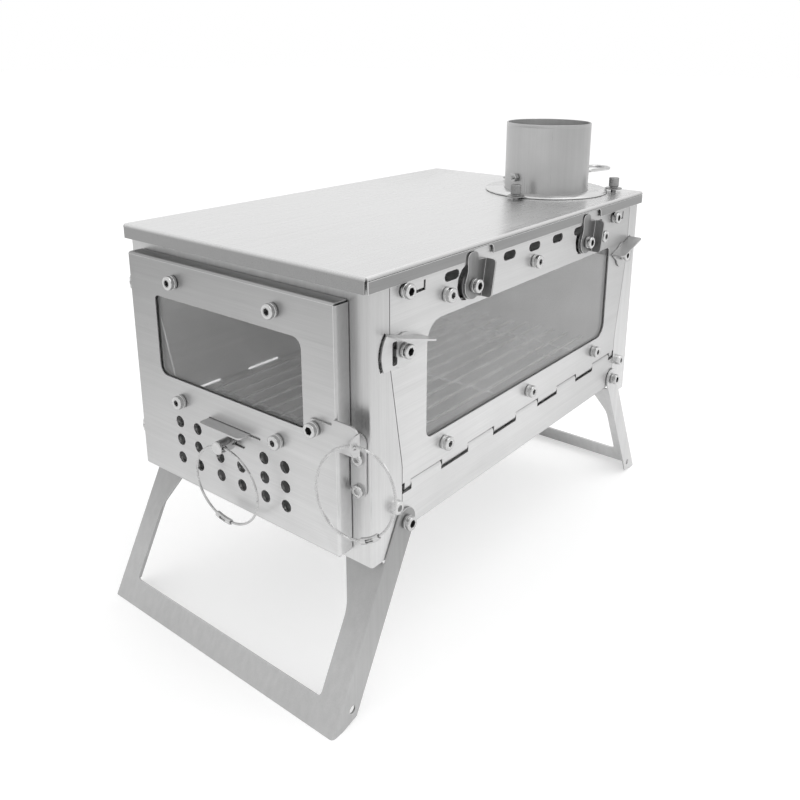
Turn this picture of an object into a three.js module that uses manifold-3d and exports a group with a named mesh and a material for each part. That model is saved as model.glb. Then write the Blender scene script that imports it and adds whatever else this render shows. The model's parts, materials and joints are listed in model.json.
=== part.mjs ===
// A flat-pack tent wood stove of thin stainless steel sheet on two folding legs.
// Units are millimetres and +Z is up. The door faces -Y and the side window faces +X.
// Every piece is placed from the middle of the body: x to the right, y to the back, z from the floor.
// The whole stove is then moved so that the origin lies under the middle of its bounding box.
import * as THREE from "three";
import { mergeVertices } from "three/addons/utils/BufferGeometryUtils.js";
import Module from "manifold-3d";

const wasm = await Module();
wasm.setup();

// ---------------------------------------------------------------- driving dimensions
const clearance = 0.3; // between pieces that touch
const seam = 0.5; // visible gap between two sheets in one plane
const sheet = 0.8; // steel sheet of the body, the frames and the door
const originX = 5.8; // the wire ring hangs out on the right, so the bounding box is off centre

// Lid
const lidTop = 248.4; // height of the cooking surface above the floor
const lidSheet = 1;
const lidFlange = 9;
const lidBend = 1.8;
const cornerSlit = 1.2;

// Body box
const bodyHalfWidth = 98.2;
const bodyHalfLength = 158.6;
const lidWidth = 2 * bodyHalfWidth + 3.6;
const lidLength = 2 * bodyHalfLength + 8.8;
const trayDepth = 152.6; // underside of the tray below the lid top
const frameDepth = trayDepth + 9.9; // lowest edge of the end frames below the lid top
const panelDepth = 1.3; // top edge of the panels below the lid top
const flangeReach = 30; // length of sheet folded back from an end frame

// Folding seam along each side
const hingeDepth = trayDepth - 26.4;
const hingeRodRadius = 1.2;
const curlInner = 1.45;
const curlOuter = curlInner + sheet;
const panelHalfLength = bodyHalfLength - 27.6; // half of the curled length of a side panel
const curlPitch = (panelHalfLength - 20) / 2;
const curlWidth = curlPitch / 2 + 0.15;
const curlsPerSide = 5;
const curlGap = 0.8;

// Side window
const windowHalfLength = panelHalfLength - 19;
const windowTopDepth = 35.7;
const glassThickness = 3;
const glassMargin = 5.6;
const clampMargin = 11;
const sideScrewPitch = windowHalfLength - 17;
const sideScrewTopDepth = 24;
const sideScrewBottomDepth = hingeDepth - 13.5;
const windowBottomDepth = sideScrewBottomDepth - 8.2;

// Vents under the lid edge
const ventPitch = 30;
const ventsPerSide = 7;
const ventLength = 14;
const ventHeight = 5.5;
const ventDepth = 14.5;

// Turning levers that hold the lid
const leverOffset = windowHalfLength - 41.5; // lever pivots from the middle of the body
const leverDepth = 24;
const leverSheet = 1;
const leverDisc = 8.5;
const leverReach = 7.7; // how far the handle stands out from the lever
const tongueTop = 19.5; // tongue tip above the pivot
const notchDepth = 3.4; // roof of the lid notch below the lid top
const notchFront = 9.1; // notch walls, before and behind the lever's pivot
const notchBack = 19.5;
const lidEdgeTop = 2.4; // top of a lid edge below the lid top

// Corner latches that hold the end frames
const latchOffset = bodyHalfLength - 25.2;
const latchDepth = 45;
const latchDisc = 9.6;
const latchRim = 18.1;
const latchSlotInner = 16.9;
const latchSlotOuter = 19.3;
const latchShelf = 9;

// Screws on which the side panels hang
const hangDepth = 13.5;
const hangFront = 27.1 - bodyHalfLength;
const hangBack = bodyHalfLength - 43.6;

// Socket screws
const headRadius = 4.1;
const headHeight = 4.5;
const shankRadius = 1.9;
const holeRadius = 2.3;

// Legs
const legOffset = bodyHalfLength - 27.1; // leg pivots from the middle of the body
const legPivotDepth = trayDepth - 6.4;
const legAngle = THREE.MathUtils.degToRad(27.5);
const legSheet = 1.2;
const legHalfWidth = bodyHalfWidth + 1.6;
const legHalfFlange = 8;
const legStrip = 16;
const legFaceTop = 24; // start of the front face, measured down from the pivot
const legReach = (lidTop - legPivotDepth) / Math.cos(legAngle); // from the pivot down to the floor
const legCrossbar = legReach - 12.2; // top edge of the crossbar, measured down from the pivot
const legLength = legReach + 9;

// Door
const doorLeft = 10.7 - bodyHalfWidth;
const doorRight = bodyHalfWidth - 13.7;
const doorTopDepth = 14.5;
const doorBottomDepth = frameDepth - 6;
const doorFront = -bodyHalfLength - 10.4;
const doorBack = -bodyHalfLength - 0.5;
const doorBend = 1.6;
const doorMiddle = (doorLeft + doorRight) / 2;
const doorScrewOffset = 42;
const doorScrewTopDepth = 26.3;
const doorHingeX = doorLeft - 4;
const doorHingeY = doorFront + 5;
const doorHingeDepths = [36, doorBottomDepth - 23.5];
const hingeLug = 2;
const hingeLugRadius = 2.4;
const hingePinRadius = 1.1;

// Air slide behind the door
const airHoleRadius = 3.8;
const airRowPitch = 12;
const knobDepth = doorBottomDepth - 43.1;
const airRows = [0, 1, 2].map((row) => knobDepth + 2.4 + row * airRowPitch);
const slideTopDepth = knobDepth - 9;
const slideBottomDepth = airRows[2] + 7.3;
const doorScrewBottomDepth = slideTopDepth - 3.4;
const doorWindowTopDepth = 37.5;
const doorWindowBottomDepth = doorScrewBottomDepth - 13;
const airColumns = [-46, -29.2, -9.3, 9.3, 29.2, 46];
const airTravel = 8;
const knobX = 2;
const knobRadius = 4;
const knobFront = doorFront - 12.5;
const knobHoleY = knobFront + 2.9;
const knobHoleRadius = 1.95;

// Door latch
const latchPivotX = doorRight - 14.8;
const doorLatchDepth = doorScrewBottomDepth - 16.7;
const eyeX = bodyHalfWidth + 1;
const eyeY = doorFront - 3.7;

// Wire rings
const wireRadius = 0.8;
const pullRingRadius = 24.2;
const pullRingOffset = 3.4;
const latchRingHalfWidth = 24.6;
const latchRingHalfHeight = 26.6;
const latchRingTurn = THREE.MathUtils.degToRad(20);
const barrelRadius = 1.75;
const barrelBore = 1.1;

// Flue
const flueX = 38;
const flueY = lidLength / 2 - 43;
const flueRadius = 32;
const flueSheet = 1;
const flueHeight = 52;
const flueHole = 31.2;
const flangeRadius = 47;
const flangeThickness = 1.2;
const thumbCircle = 52;
const thumbAngles = [-85.5, 33, 153].map(THREE.MathUtils.degToRad);
const damperHeight = 12.5;
const damperAngle = THREE.MathUtils.degToRad(75);
const damperShaftRadius = 1.5;
const damperPlateRadius = 29.6;

// Fire grate
const grateHeight = lidTop - trayDepth + 32.6;
const grateRods = 13;
const gratePitch = 13;
const grateHalfLength = bodyHalfLength - 18.6;
const grateWire = 1.3;

// ---------------------------------------------------------------- helpers
const right = new THREE.Vector3(1, 0, 0);
const backward = new THREE.Vector3(0, 1, 0);
const forward = new THREE.Vector3(0, -1, 0);
const up = new THREE.Vector3(0, 0, 1);

// Height of a place that lies a given depth below the lid top.
const down = (depth) => lidTop - depth;

// A closed solid from a three.js geometry.
function solid(geometry, matrix) {
  const bare = geometry.index ? geometry.toNonIndexed() : geometry.clone();
  bare.deleteAttribute("normal");
  bare.deleteAttribute("uv");
  if (matrix) bare.applyMatrix4(matrix);
  const joined = mergeVertices(bare, 1e-4);
  const corners = joined.index.array;
  const kept = [];
  for (let i = 0; i < corners.length; i += 3) {
    const [a, b, c] = corners.slice(i, i + 3);
    if (a !== b && b !== c && c !== a) kept.push(a, b, c);
  }
  return new wasm.Manifold(
    new wasm.Mesh({
      numProp: 3,
      vertProperties: joined.attributes.position.array,
      triVerts: new Uint32Array(kept),
    }),
  );
}

// A three.js geometry from a closed solid.
function geometryOf(body) {
  const mesh = body.asOriginal().simplify(0.004).getMesh();
  const geometry = new THREE.BufferGeometry();
  geometry.setAttribute("position", new THREE.BufferAttribute(mesh.vertProperties, 3));
  geometry.setIndex(new THREE.BufferAttribute(mesh.triVerts, 1));
  const faceted = geometry.toNonIndexed();
  faceted.computeVertexNormals();
  return faceted;
}

const join = (first, ...others) => others.reduce((whole, part) => whole.add(part), first);
const cut = (first, ...tools) => tools.reduce((rest, tool) => rest.subtract(tool), first);

// A closed outline through corners [x, y, radius], each rounded by its own radius.
function rounded(corners, arcSteps = 4) {
  const points = [];
  corners.forEach(([x, y, radius = 0], i) => {
    const corner = new THREE.Vector2(x, y);
    if (radius === 0) {
      points.push(corner);
      return;
    }
    const before = corners.at(i - 1);
    const after = corners[(i + 1) % corners.length];
    const toBefore = new THREE.Vector2(before[0] - x, before[1] - y).normalize();
    const toAfter = new THREE.Vector2(after[0] - x, after[1] - y).normalize();
    const half = toBefore.angleTo(toAfter) / 2;
    const start = corner.clone().addScaledVector(toBefore, radius / Math.tan(half));
    const end = corner.clone().addScaledVector(toAfter, radius / Math.tan(half));
    const bisector = toBefore.clone().add(toAfter).normalize();
    const centre = corner.clone().addScaledVector(bisector, radius / Math.sin(half));
    const first = Math.atan2(start.y - centre.y, start.x - centre.x);
    let sweep = Math.atan2(end.y - centre.y, end.x - centre.x) - first;
    if (sweep > Math.PI) sweep -= 2 * Math.PI;
    if (sweep < -Math.PI) sweep += 2 * Math.PI;
    for (let k = 0; k <= arcSteps; k++) {
      const angle = first + (sweep * k) / arcSteps;
      points.push(new THREE.Vector2(Math.cos(angle), Math.sin(angle)).multiplyScalar(radius).add(centre));
    }
  });
  return points;
}

// A rectangle from its sides, with one radius for each corner, from the lower left one anticlockwise.
function rectangle(left, bottom, rightSide, top, radii = [0, 0, 0, 0], arcSteps = 4) {
  const [lowerLeft, lowerRight, upperRight, upperLeft] = radii;
  return rounded(
    [
      [left, bottom, lowerLeft],
      [rightSide, bottom, lowerRight],
      [rightSide, top, upperRight],
      [left, top, upperLeft],
    ],
    arcSteps,
  );
}

// A circle, or a part of one, as points.
function arc(x, y, radius, fromDegrees = 0, toDegrees = 360, steps = 16) {
  const whole = Math.abs(toDegrees - fromDegrees) === 360;
  return Array.from({ length: whole ? steps : steps + 1 }, (_, k) => {
    const angle = THREE.MathUtils.degToRad(fromDegrees + ((toDegrees - fromDegrees) * k) / steps);
    return new THREE.Vector2(x + radius * Math.cos(angle), y + radius * Math.sin(angle));
  });
}

// A bent band between two radii.
function band(x, y, inner, outer, fromDegrees, toDegrees, steps = 8) {
  const inside = arc(x, y, inner, toDegrees, fromDegrees, steps);
  return [...arc(x, y, outer, fromDegrees, toDegrees, steps), ...inside];
}

// Placements of a flat outline that is given a thickness.
// An outline (y, z) grows towards +X, an outline (x, z) towards -Y and an outline (x, y) towards +Z.
const growingRight = (x) => new THREE.Matrix4().makeBasis(backward, up, right).setPosition(x, 0, 0);
const growingForward = (y) => new THREE.Matrix4().makeBasis(right, up, forward).setPosition(0, y, 0);
const growingUp = (z) => new THREE.Matrix4().setPosition(0, 0, z);

function plate(outline, thickness, placement, holes = []) {
  const shape = new THREE.Shape(outline);
  shape.holes = holes.map((points) => new THREE.Path(points));
  const geometry = new THREE.ExtrudeGeometry(shape, { depth: thickness, bevelEnabled: false });
  return solid(geometry, placement);
}

function box([x0, x1], [y0, y1], [z0, z1]) {
  const middle = new THREE.Matrix4().setPosition((x0 + x1) / 2, (y0 + y1) / 2, (z0 + z1) / 2);
  return solid(new THREE.BoxGeometry(x1 - x0, y1 - y0, z1 - z0), middle);
}

// A straight round bar between two points.
function bar(radius, from, to, sides = 8) {
  const along = new THREE.Vector3().subVectors(to, from);
  const turn = new THREE.Quaternion().setFromUnitVectors(backward, along.clone().normalize());
  const middle = new THREE.Vector3().addVectors(from, to).multiplyScalar(0.5);
  const matrix = new THREE.Matrix4().compose(middle, turn, new THREE.Vector3(1, 1, 1));
  return solid(new THREE.CylinderGeometry(radius, radius, along.length(), sides), matrix);
}

const point = (x, y, z) => new THREE.Vector3(x, y, z);

// A sheet folded to a channel: the web lies at the top, both flanges hang down.
function channelOutline(halfWidth, depth, thickness, bend, steps = 4) {
  const inner = bend - thickness;
  return rounded(
    [
      [-halfWidth, -depth],
      [-halfWidth + thickness, -depth],
      [-halfWidth + thickness, -thickness, inner],
      [halfWidth - thickness, -thickness, inner],
      [halfWidth - thickness, -depth],
      [halfWidth, -depth],
      [halfWidth, 0, bend],
      [-halfWidth, 0, bend],
    ],
    steps,
  );
}

// A shallow tray of folded sheet, its face at height 0 and its four flanges below, slit at the corners.
function foldedTray(width, length, depth, thickness, bend) {
  const across = new THREE.Matrix4().makeBasis(right, up, forward).setPosition(0, length / 2 - cornerSlit, 0);
  const along = new THREE.Matrix4().makeBasis(backward, up, right).setPosition(-width / 2 + cornerSlit, 0, 0);
  const sides = plate(channelOutline(width / 2, depth, thickness, bend), length - 2 * cornerSlit, across);
  const ends = plate(channelOutline(length / 2, depth, thickness, bend), width - 2 * cornerSlit, along);
  const ending = 2 * Math.max(bend, cornerSlit);
  const flat = box(
    [-width / 2 + ending, width / 2 - ending],
    [-length / 2 + ending, length / 2 - ending],
    [-thickness, 0],
  );
  return join(sides, ends, flat);
}

// A socket screw whose head rests at height 0 and points up. It ends in a nut where one is asked for.
function socketScrew(shankLength, nutFrom = 0, radius = headRadius, height = headHeight) {
  const edge = 0.5;
  const profile = [
    new THREE.Vector2(0, -shankLength),
    new THREE.Vector2(shankRadius, -shankLength),
    new THREE.Vector2(shankRadius, 0),
    new THREE.Vector2(radius, 0),
    new THREE.Vector2(radius, height - edge),
    new THREE.Vector2(radius - edge, height),
    new THREE.Vector2(0, height),
  ];
  const upright = new THREE.Matrix4().makeRotationX(Math.PI / 2);
  const turned = solid(new THREE.LatheGeometry(profile, 8), upright);
  const socket = bar(radius * 0.5, point(0, 0, height * 0.45), point(0, 0, height + 1), 6);
  const screw = cut(turned, socket);
  if (nutFrom === 0) return screw;
  return join(screw, bar(3.6, point(0, 0, -nutFrom - 2.4), point(0, 0, -nutFrom), 6));
}

// Turns a piece made upright so that its top points right, or to the front, at a given place.
const facingRight = (x, y, z) => new THREE.Matrix4().makeBasis(forward, up.clone().negate(), right).setPosition(x, y, z);
const facingFront = (x, y, z) => new THREE.Matrix4().makeBasis(right, up, forward).setPosition(x, y, z);
const moved = (body, matrix) => solid(geometryOf(body), matrix);

// An oval loop of wire in the local XZ plane, hanging from the local origin.
class HangingLoop extends THREE.Curve {
  constructor(halfWidth, halfHeight, shift, from = 0, to = 1) {
    super();
    Object.assign(this, { halfWidth, halfHeight, shift, from, to });
    this.centreZ = -halfHeight * Math.sqrt(1 - (shift / halfWidth) ** 2);
  }
  getPoint(t, target = new THREE.Vector3()) {
    const angle = 2 * Math.PI * (this.from + (this.to - this.from) * t);
    const x = this.shift + this.halfWidth * Math.cos(angle);
    return target.set(x, 0, this.centreZ + this.halfHeight * Math.sin(angle));
  }
}

function wireLoop(halfWidth, halfHeight, shift) {
  const path = new HangingLoop(halfWidth, halfHeight, shift);
  return solid(new THREE.TubeGeometry(path, 30, wireRadius, 5, true));
}

// The joining sleeve of a wire loop: a bent tube round the wire with a long window in its front.
function loopBarrel(halfWidth, halfHeight, shift, from, to) {
  const path = new HangingLoop(halfWidth, halfHeight, shift, from, to);
  const shape = new THREE.Shape(arc(0, 0, barrelRadius, 0, 360, 8));
  shape.holes = [new THREE.Path(arc(0, 0, barrelBore, 0, 360, 8))];
  const tube = solid(new THREE.ExtrudeGeometry(shape, { steps: 3, extrudePath: path, bevelEnabled: false }));
  const middle = path.getPoint(0.5);
  const tangent = path.getTangent(0.5);
  const side = new THREE.Vector3().crossVectors(tangent, forward);
  const matrix = new THREE.Matrix4().makeBasis(tangent, forward, side);
  matrix.setPosition(middle.clone().addScaledVector(forward, barrelRadius));
  return cut(tube, solid(new THREE.BoxGeometry(5, 1.6, 1.4), matrix));
}

// ---------------------------------------------------------------- materials and scene graph
const steel = new THREE.MeshStandardMaterial({ color: 0xc4c5c6, metalness: 1, roughness: 0.34 });
const lidSteel = new THREE.MeshStandardMaterial({ color: 0xd6d7d8, metalness: 1, roughness: 0.42 });
const legSteel = new THREE.MeshStandardMaterial({ color: 0xb0b1b3, metalness: 1, roughness: 0.38 });
const darkSteel = new THREE.MeshStandardMaterial({ color: 0x8d8f91, metalness: 1, roughness: 0.45 });
const polished = new THREE.MeshStandardMaterial({ color: 0xdcdddf, metalness: 1, roughness: 0.16 });
const wire = new THREE.MeshStandardMaterial({ color: 0xc9cacc, metalness: 1, roughness: 0.3 });
const glass = new THREE.MeshStandardMaterial({
  color: 0xe8ece9,
  metalness: 0,
  roughness: 0.05,
  transparent: true,
  opacity: 0.25,
});

const stove = new THREE.Group();
stove.name = "tent_wood_stove";

function addPiece(name, body, material, parent = stove) {
  const mesh = new THREE.Mesh(geometryOf(body), material);
  mesh.name = name;
  parent.add(mesh);
  return mesh;
}

// The left side is the mirror image of the right side.
const sides = { right: new THREE.Group(), left: new THREE.Group() };
sides.left.scale.x = -1;
stove.add(sides.right, sides.left);

// ---------------------------------------------------------------- end frames
const sheetInside = bodyHalfWidth - sheet; // inner face of the side sheets
const earOutside = sheetInside - clearance; // outer face of ears that lie behind a side sheet
const earInside = earOutside - sheet;

// Edge of the flange that an end frame folds back, as [distance behind the frame's face, depth].
// The sheet keeps its narrow width down to the latch and grows towards the leg.
const flangeEdge = [
  [14.8, 50],
  [25.1, trayDepth - 40.6],
  [25.1, trayDepth - 10.6],
  [21.5, trayDepth],
  [13.6, trayDepth + 7.4],
  [10.6, frameDepth],
];

// Outline (y, z) of the front frame's flange, grown by a margin at its free edge.
function flangeOutline(margin = 0) {
  const front = -bodyHalfLength;
  const edge = flangeEdge.map(([reach, depth]) => [front + reach + margin, down(depth)]);
  return rounded([
    [front - margin, down(panelDepth)],
    [front - margin, down(frameDepth)],
    ...edge.reverse(),
    [front + flangeEdge[0][0] + margin, down(panelDepth)],
  ]);
}

function latchSlot() {
  const outline = band(-latchOffset, down(latchDepth), latchSlotInner, latchSlotOuter, 138, 205, 6);
  return plate(outline, 2 * (bodyHalfWidth + 1), growingRight(-bodyHalfWidth - 1));
}

const frameScrewY = 18.1 - bodyHalfLength;
const frameScrewDepth = trayDepth - 19.6;

// A frame that closes one end of the stove, made for the front and turned round for the back.
function endFrame(opening, hangY) {
  const height = frameDepth - panelDepth;
  const upright = new THREE.Matrix4().makeBasis(right, forward, up.clone().negate());
  upright.setPosition(0, -bodyHalfLength, down(panelDepth));
  const channel = plate(channelOutline(bodyHalfWidth, flangeReach, sheet, 1.4, 3), height, upright);
  const silhouette = plate(flangeOutline(), 2 * (bodyHalfWidth + 1), growingRight(-bodyHalfWidth - 1));
  let frame = channel.intersect(silhouette);
  frame = cut(frame, latchSlot());
  if (opening) frame = cut(frame, plate(opening, 4, growingForward(-bodyHalfLength + 2)));
  // Ears behind the side panels take the screws on which the panels hang.
  const earEnd = hangY + 6;
  for (const side of [1, -1]) {
    const outer = [side * earInside, side * earOutside].sort((a, b) => a - b);
    const weld = [side * earInside, side * (sheetInside + 0.1)].sort((a, b) => a - b);
    const levels = [down(hangDepth + 6), down(hangDepth - 7)];
    const ear = box(outer, [-bodyHalfLength + 2, earEnd], levels);
    const pad = box(weld, [-bodyHalfLength + 2, -bodyHalfLength + 14], levels);
    frame = join(frame, ear, pad);
    const from = side * (earInside - 1);
    const to = side * (bodyHalfWidth + 1);
    frame = cut(frame, bar(holeRadius, point(from, hangY, down(hangDepth)), point(to, hangY, down(hangDepth))));
    // Screw that ties the frame's flange to the tray.
    const seat = side * (bodyHalfWidth - 0.1);
    const base = socketScrew(3);
    const place = side > 0 ? facingRight(0, 0, 0) : new THREE.Matrix4().makeRotationZ(Math.PI).multiply(facingRight(0, 0, 0));
    place.setPosition(seat, frameScrewY, down(frameScrewDepth));
    frame = join(frame, moved(base, place));
  }
  return frame;
}

// ---------------------------------------------------------------- tray
function baseTray() {
  const halfLength = bodyHalfLength - sheet - clearance;
  const flangeTop = down(hingeDepth) - curlOuter - 1;
  const depth = flangeTop - down(trayDepth);
  const upturned = new THREE.Matrix4().makeBasis(right, up.clone().negate(), backward);
  upturned.setPosition(0, -halfLength, down(trayDepth));
  let tray = plate(channelOutline(bodyHalfWidth, depth, sheet, 1.5, 3), 2 * halfLength, upturned);
  // Room for the flanges of both end frames.
  const room = plate(flangeOutline(seam), 3, growingRight(earOutside));
  for (const turn of [0, Math.PI]) {
    for (const mirror of [1, -1]) {
      const matrix = new THREE.Matrix4().makeRotationZ(turn);
      matrix.multiply(new THREE.Matrix4().makeTranslation(mirror > 0 ? 0 : -2 * earOutside - 3, 0, 0));
      tray = cut(tray, moved(room, matrix));
    }
  }
  for (const side of [1, -1]) {
    const levels = [down(trayDepth) + 0.4, flangeTop];
    for (const end of [1, -1]) {
      const sorted = (a, b) => [side * a, side * b].sort((p, q) => p - q);
      const along = (a, b) => [end * a, end * b].sort((p, q) => p - q);
      tray = join(
        tray,
        box(sorted(earInside, earOutside), along(legOffset - 9, frameScrewY * -1 + 10), levels),
        box(sorted(earInside, sheetInside + 0.1), along(legOffset - 9, legOffset), levels),
      );
      const through = (y, z) => bar(holeRadius, point(side * (earInside - 1), y, z), point(side * (bodyHalfWidth + 1.8), y, z));
      tray = cut(tray, through(-end * frameScrewY, down(frameScrewDepth)));
      tray = cut(tray, through(end * legOffset, down(legPivotDepth)));
    }
  }
  const curls = join(curlRow(trayTabs(), true), curlRow(trayTabs(), true, -1));
  return join(tray, curls);
}

// Places [from, to] along the seam that belong to the tray, and those that belong to the panel.
function trayTabs() {
  return Array.from({ length: curlsPerSide }, (_, k) => {
    const middle = (k - (curlsPerSide - 1) / 2) * curlPitch;
    return [middle - curlWidth / 2, middle + curlWidth / 2];
  });
}

function panelTabs() {
  const edges = [-panelHalfLength, ...trayTabs().flat(), panelHalfLength];
  const tabs = [];
  for (let i = 0; i < edges.length; i += 2) {
    tabs.push([edges[i] + (i > 0 ? curlGap : 0), edges[i + 1] - (i + 2 < edges.length ? curlGap : 0)]);
  }
  return tabs;
}

// Curls round the hinge rod. Tray curls come up from below, panel curls come down from above.
function curlRow(tabs, fromBelow, side = 1) {
  const x = bodyHalfWidth - curlOuter;
  const z = down(hingeDepth);
  const sweep = fromBelow ? [0, 285] : [0, -285];
  const stem = fromBelow ? -curlOuter - 1.5 : curlOuter + 1.5;
  const pieces = tabs.map(([from, to]) => {
    const ring = band(x, z, curlInner, curlOuter, ...sweep, 6);
    // The sheet itself is the start of the curl, so the outline goes on along it.
    ring.unshift(new THREE.Vector2(bodyHalfWidth, z + stem));
    ring.push(new THREE.Vector2(sheetInside, z + stem));
    return plate(ring, to - from, growingForward(to));
  });
  const row = join(...pieces);
  if (side > 0) return row;
  // The row is its own mirror image along the body, so a half turn gives the other side.
  return moved(row, new THREE.Matrix4().makeRotationZ(Math.PI));
}

// ---------------------------------------------------------------- side panels
// A crescent round a lever pivot, widest at the front and pointed at both ends.
function crescent(y, z) {
  const from = 52;
  const to = 236;
  const steps = 9;
  const inner = leverDisc + 0.7;
  const widest = 5.3;
  const outside = Array.from({ length: steps + 1 }, (_, k) => {
    const degrees = from + ((to - from) * k) / steps;
    const radius = inner + 0.4 + widest * Math.sin((Math.PI * k) / steps) ** 0.7;
    return arc(y, z, radius, degrees, degrees + 360, 1)[0];
  });
  return [...outside, ...arc(y, z, inner, to, from, steps)];
}

// A keyhole with a thin hooked slot, along which a loosened panel slides free of its screw.
function hookSlot(y) {
  const z = down(hangDepth);
  const width = 1.6;
  const through = 3;
  const segment = (y0, z0, y1, z1) => {
    const start = new THREE.Vector2(y0, z0);
    const reach = new THREE.Vector2(y1 - y0, z1 - z0);
    const matrix = growingRight(earOutside).multiply(new THREE.Matrix4().makeRotationZ(reach.angle()));
    const turned = rectangle(-width / 2, -width / 2, reach.length() + width / 2, width / 2);
    const shifted = new THREE.Matrix4().makeTranslation(0, start.x, start.y);
    return plate(turned, through, shifted.multiply(matrix));
  };
  return join(
    plate(arc(y - 1.2, z + 0.3, 3.6, 0, 360, 10), through, growingRight(earOutside)),
    segment(y, z - 0.6, y + 10.5, z - 3),
    segment(y + 10.5, z - 3, y + 16.6, z - 2.8),
    segment(y + 16.6, z - 2.8, y + 16.8, z + 1.2),
  );
}

function sidePanel(withWindow) {
  const front = -bodyHalfLength + flangeEdge[0][0] + seam;
  const middle = -bodyHalfLength + flangeEdge[1][0] + seam;
  const lowerEdge = down(hingeDepth) + curlOuter + curlGap;
  const mirrored = (corners) => corners.map(([y, z]) => [-y, z]).reverse();
  const frontEdge = [
    [front, down(panelDepth)],
    [front, down(flangeEdge[0][1])],
    [middle, down(flangeEdge[1][1])],
    [middle, lowerEdge],
  ];
  const outline = rounded([...frontEdge, ...mirrored(frontEdge)]);
  const hole = (y, depth) => arc(y, down(depth), holeRadius, 0, 360, 8);
  const holes = [];
  for (const end of [-1, 1]) {
    holes.push(hole(end * latchOffset, latchDepth));
    // Window through which the hook of a corner latch reaches behind the panel.
    const slot = end * (latchOffset + 7);
    holes.push(rectangle(slot - 3.7, down(latchDepth) - 7.3, slot + 3.7, down(latchDepth) + 7.3, [1, 1, 1, 1], 2));
    holes.push(hole(end * leverOffset, leverDepth));
    holes.push(crescent(end * leverOffset, down(leverDepth)));
  }
  const reach = (ventsPerSide - 1) / 2;
  for (let k = -reach; k <= reach; k++) {
    // Every vent is a long hole, the lever's crescent runs into the one in front of it.
    const y = k * ventPitch;
    const z = down(ventDepth);
    const radii = Array(4).fill(ventHeight / 2 - 0.05);
    holes.push(rectangle(y - ventLength / 2, z - ventHeight / 2, y + ventLength / 2, z + ventHeight / 2, radii, 2));
  }
  if (withWindow) {
    for (const k of [-1, 0, 1]) {
      holes.push(hole(k * sideScrewPitch, sideScrewTopDepth));
      holes.push(hole(k * sideScrewPitch, sideScrewBottomDepth));
    }
    const [low, high] = [down(windowBottomDepth), down(windowTopDepth)];
    holes.push(rectangle(-windowHalfLength, low, windowHalfLength, high, [5, 10, 4, 12], 5));
  }
  let panel = plate(outline, sheet, growingRight(sheetInside));
  for (const points of holes) panel = cut(panel, plate(points, 3, growingRight(earOutside)));
  panel = cut(panel, hookSlot(hangFront), hookSlot(hangBack));
  return join(panel, curlRow(panelTabs(), false));
}

// ---------------------------------------------------------------- side glass
const sideGlassLeft = sheetInside - clearance - glassThickness;

function sideGlass() {
  const half = windowHalfLength + glassMargin;
  const low = down(windowBottomDepth) - glassMargin;
  const high = down(windowTopDepth) + glassMargin;
  return plate(rectangle(-half, low, half, high), glassThickness, growingRight(sideGlassLeft));
}

function sideGlassFrame() {
  const outer = rectangle(
    -windowHalfLength - clampMargin,
    down(sideScrewBottomDepth) - 4,
    windowHalfLength + clampMargin,
    down(sideScrewTopDepth) + 4,
    [3, 3, 3, 3],
    2,
  );
  const inner = rectangle(
    -windowHalfLength - 0.5,
    down(windowBottomDepth) - 0.5,
    windowHalfLength + 0.5,
    down(windowTopDepth) + 0.5,
    [4, 8, 4, 8],
    2,
  );
  const face = sideGlassLeft - clearance - sheet;
  let frame = plate(outer, sheet, growingRight(face), [inner]);
  for (const k of [-1, 0, 1]) {
    for (const depth of [sideScrewTopDepth, sideScrewBottomDepth]) {
      const length = bodyHalfWidth + clearance - face - 0.1;
      const place = facingRight(bodyHalfWidth + clearance, k * sideScrewPitch, down(depth));
      frame = join(frame, moved(socketScrew(length), place));
    }
  }
  return frame;
}

// ---------------------------------------------------------------- levers and latches
const leverInside = bodyHalfWidth + clearance;
const leverOutside = leverInside + leverSheet;

// A lever about its own pivot, drawn as (y, z).
function topLever() {
  const disc = plate(arc(0, 0, leverDisc, 0, 360, 16), leverSheet, growingRight(0));
  const blade = rounded([
    [-8.2, 2],
    [-3, -6],
    [8.2, -8.4],
    [12.4, 13.6],
    [4.6, 14.2, 1],
    [4.5, tongueTop, 3.4],
    [-5.6, tongueTop, 3.4],
    [-5.6, 9],
  ]);
  const handleLine = new THREE.Vector2(12.4 - 8.2, 13.6 + 8.4);
  const tab = rectangle(0, 0, handleLine.length(), leverReach, [0, 0, 2, 2], 2);
  const lean = new THREE.Vector3(0, handleLine.x, handleLine.y).normalize();
  const thickness = new THREE.Vector3().crossVectors(lean, right);
  const matrix = new THREE.Matrix4().makeBasis(lean, right, thickness).setPosition(0, 8.2, -8.4);
  const lever = join(disc, plate(blade, leverSheet, growingRight(0)), plate(tab, leverSheet, matrix));
  return cut(lever, bar(holeRadius, point(-1, 0, 0), point(3, 0, 0)));
}

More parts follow.
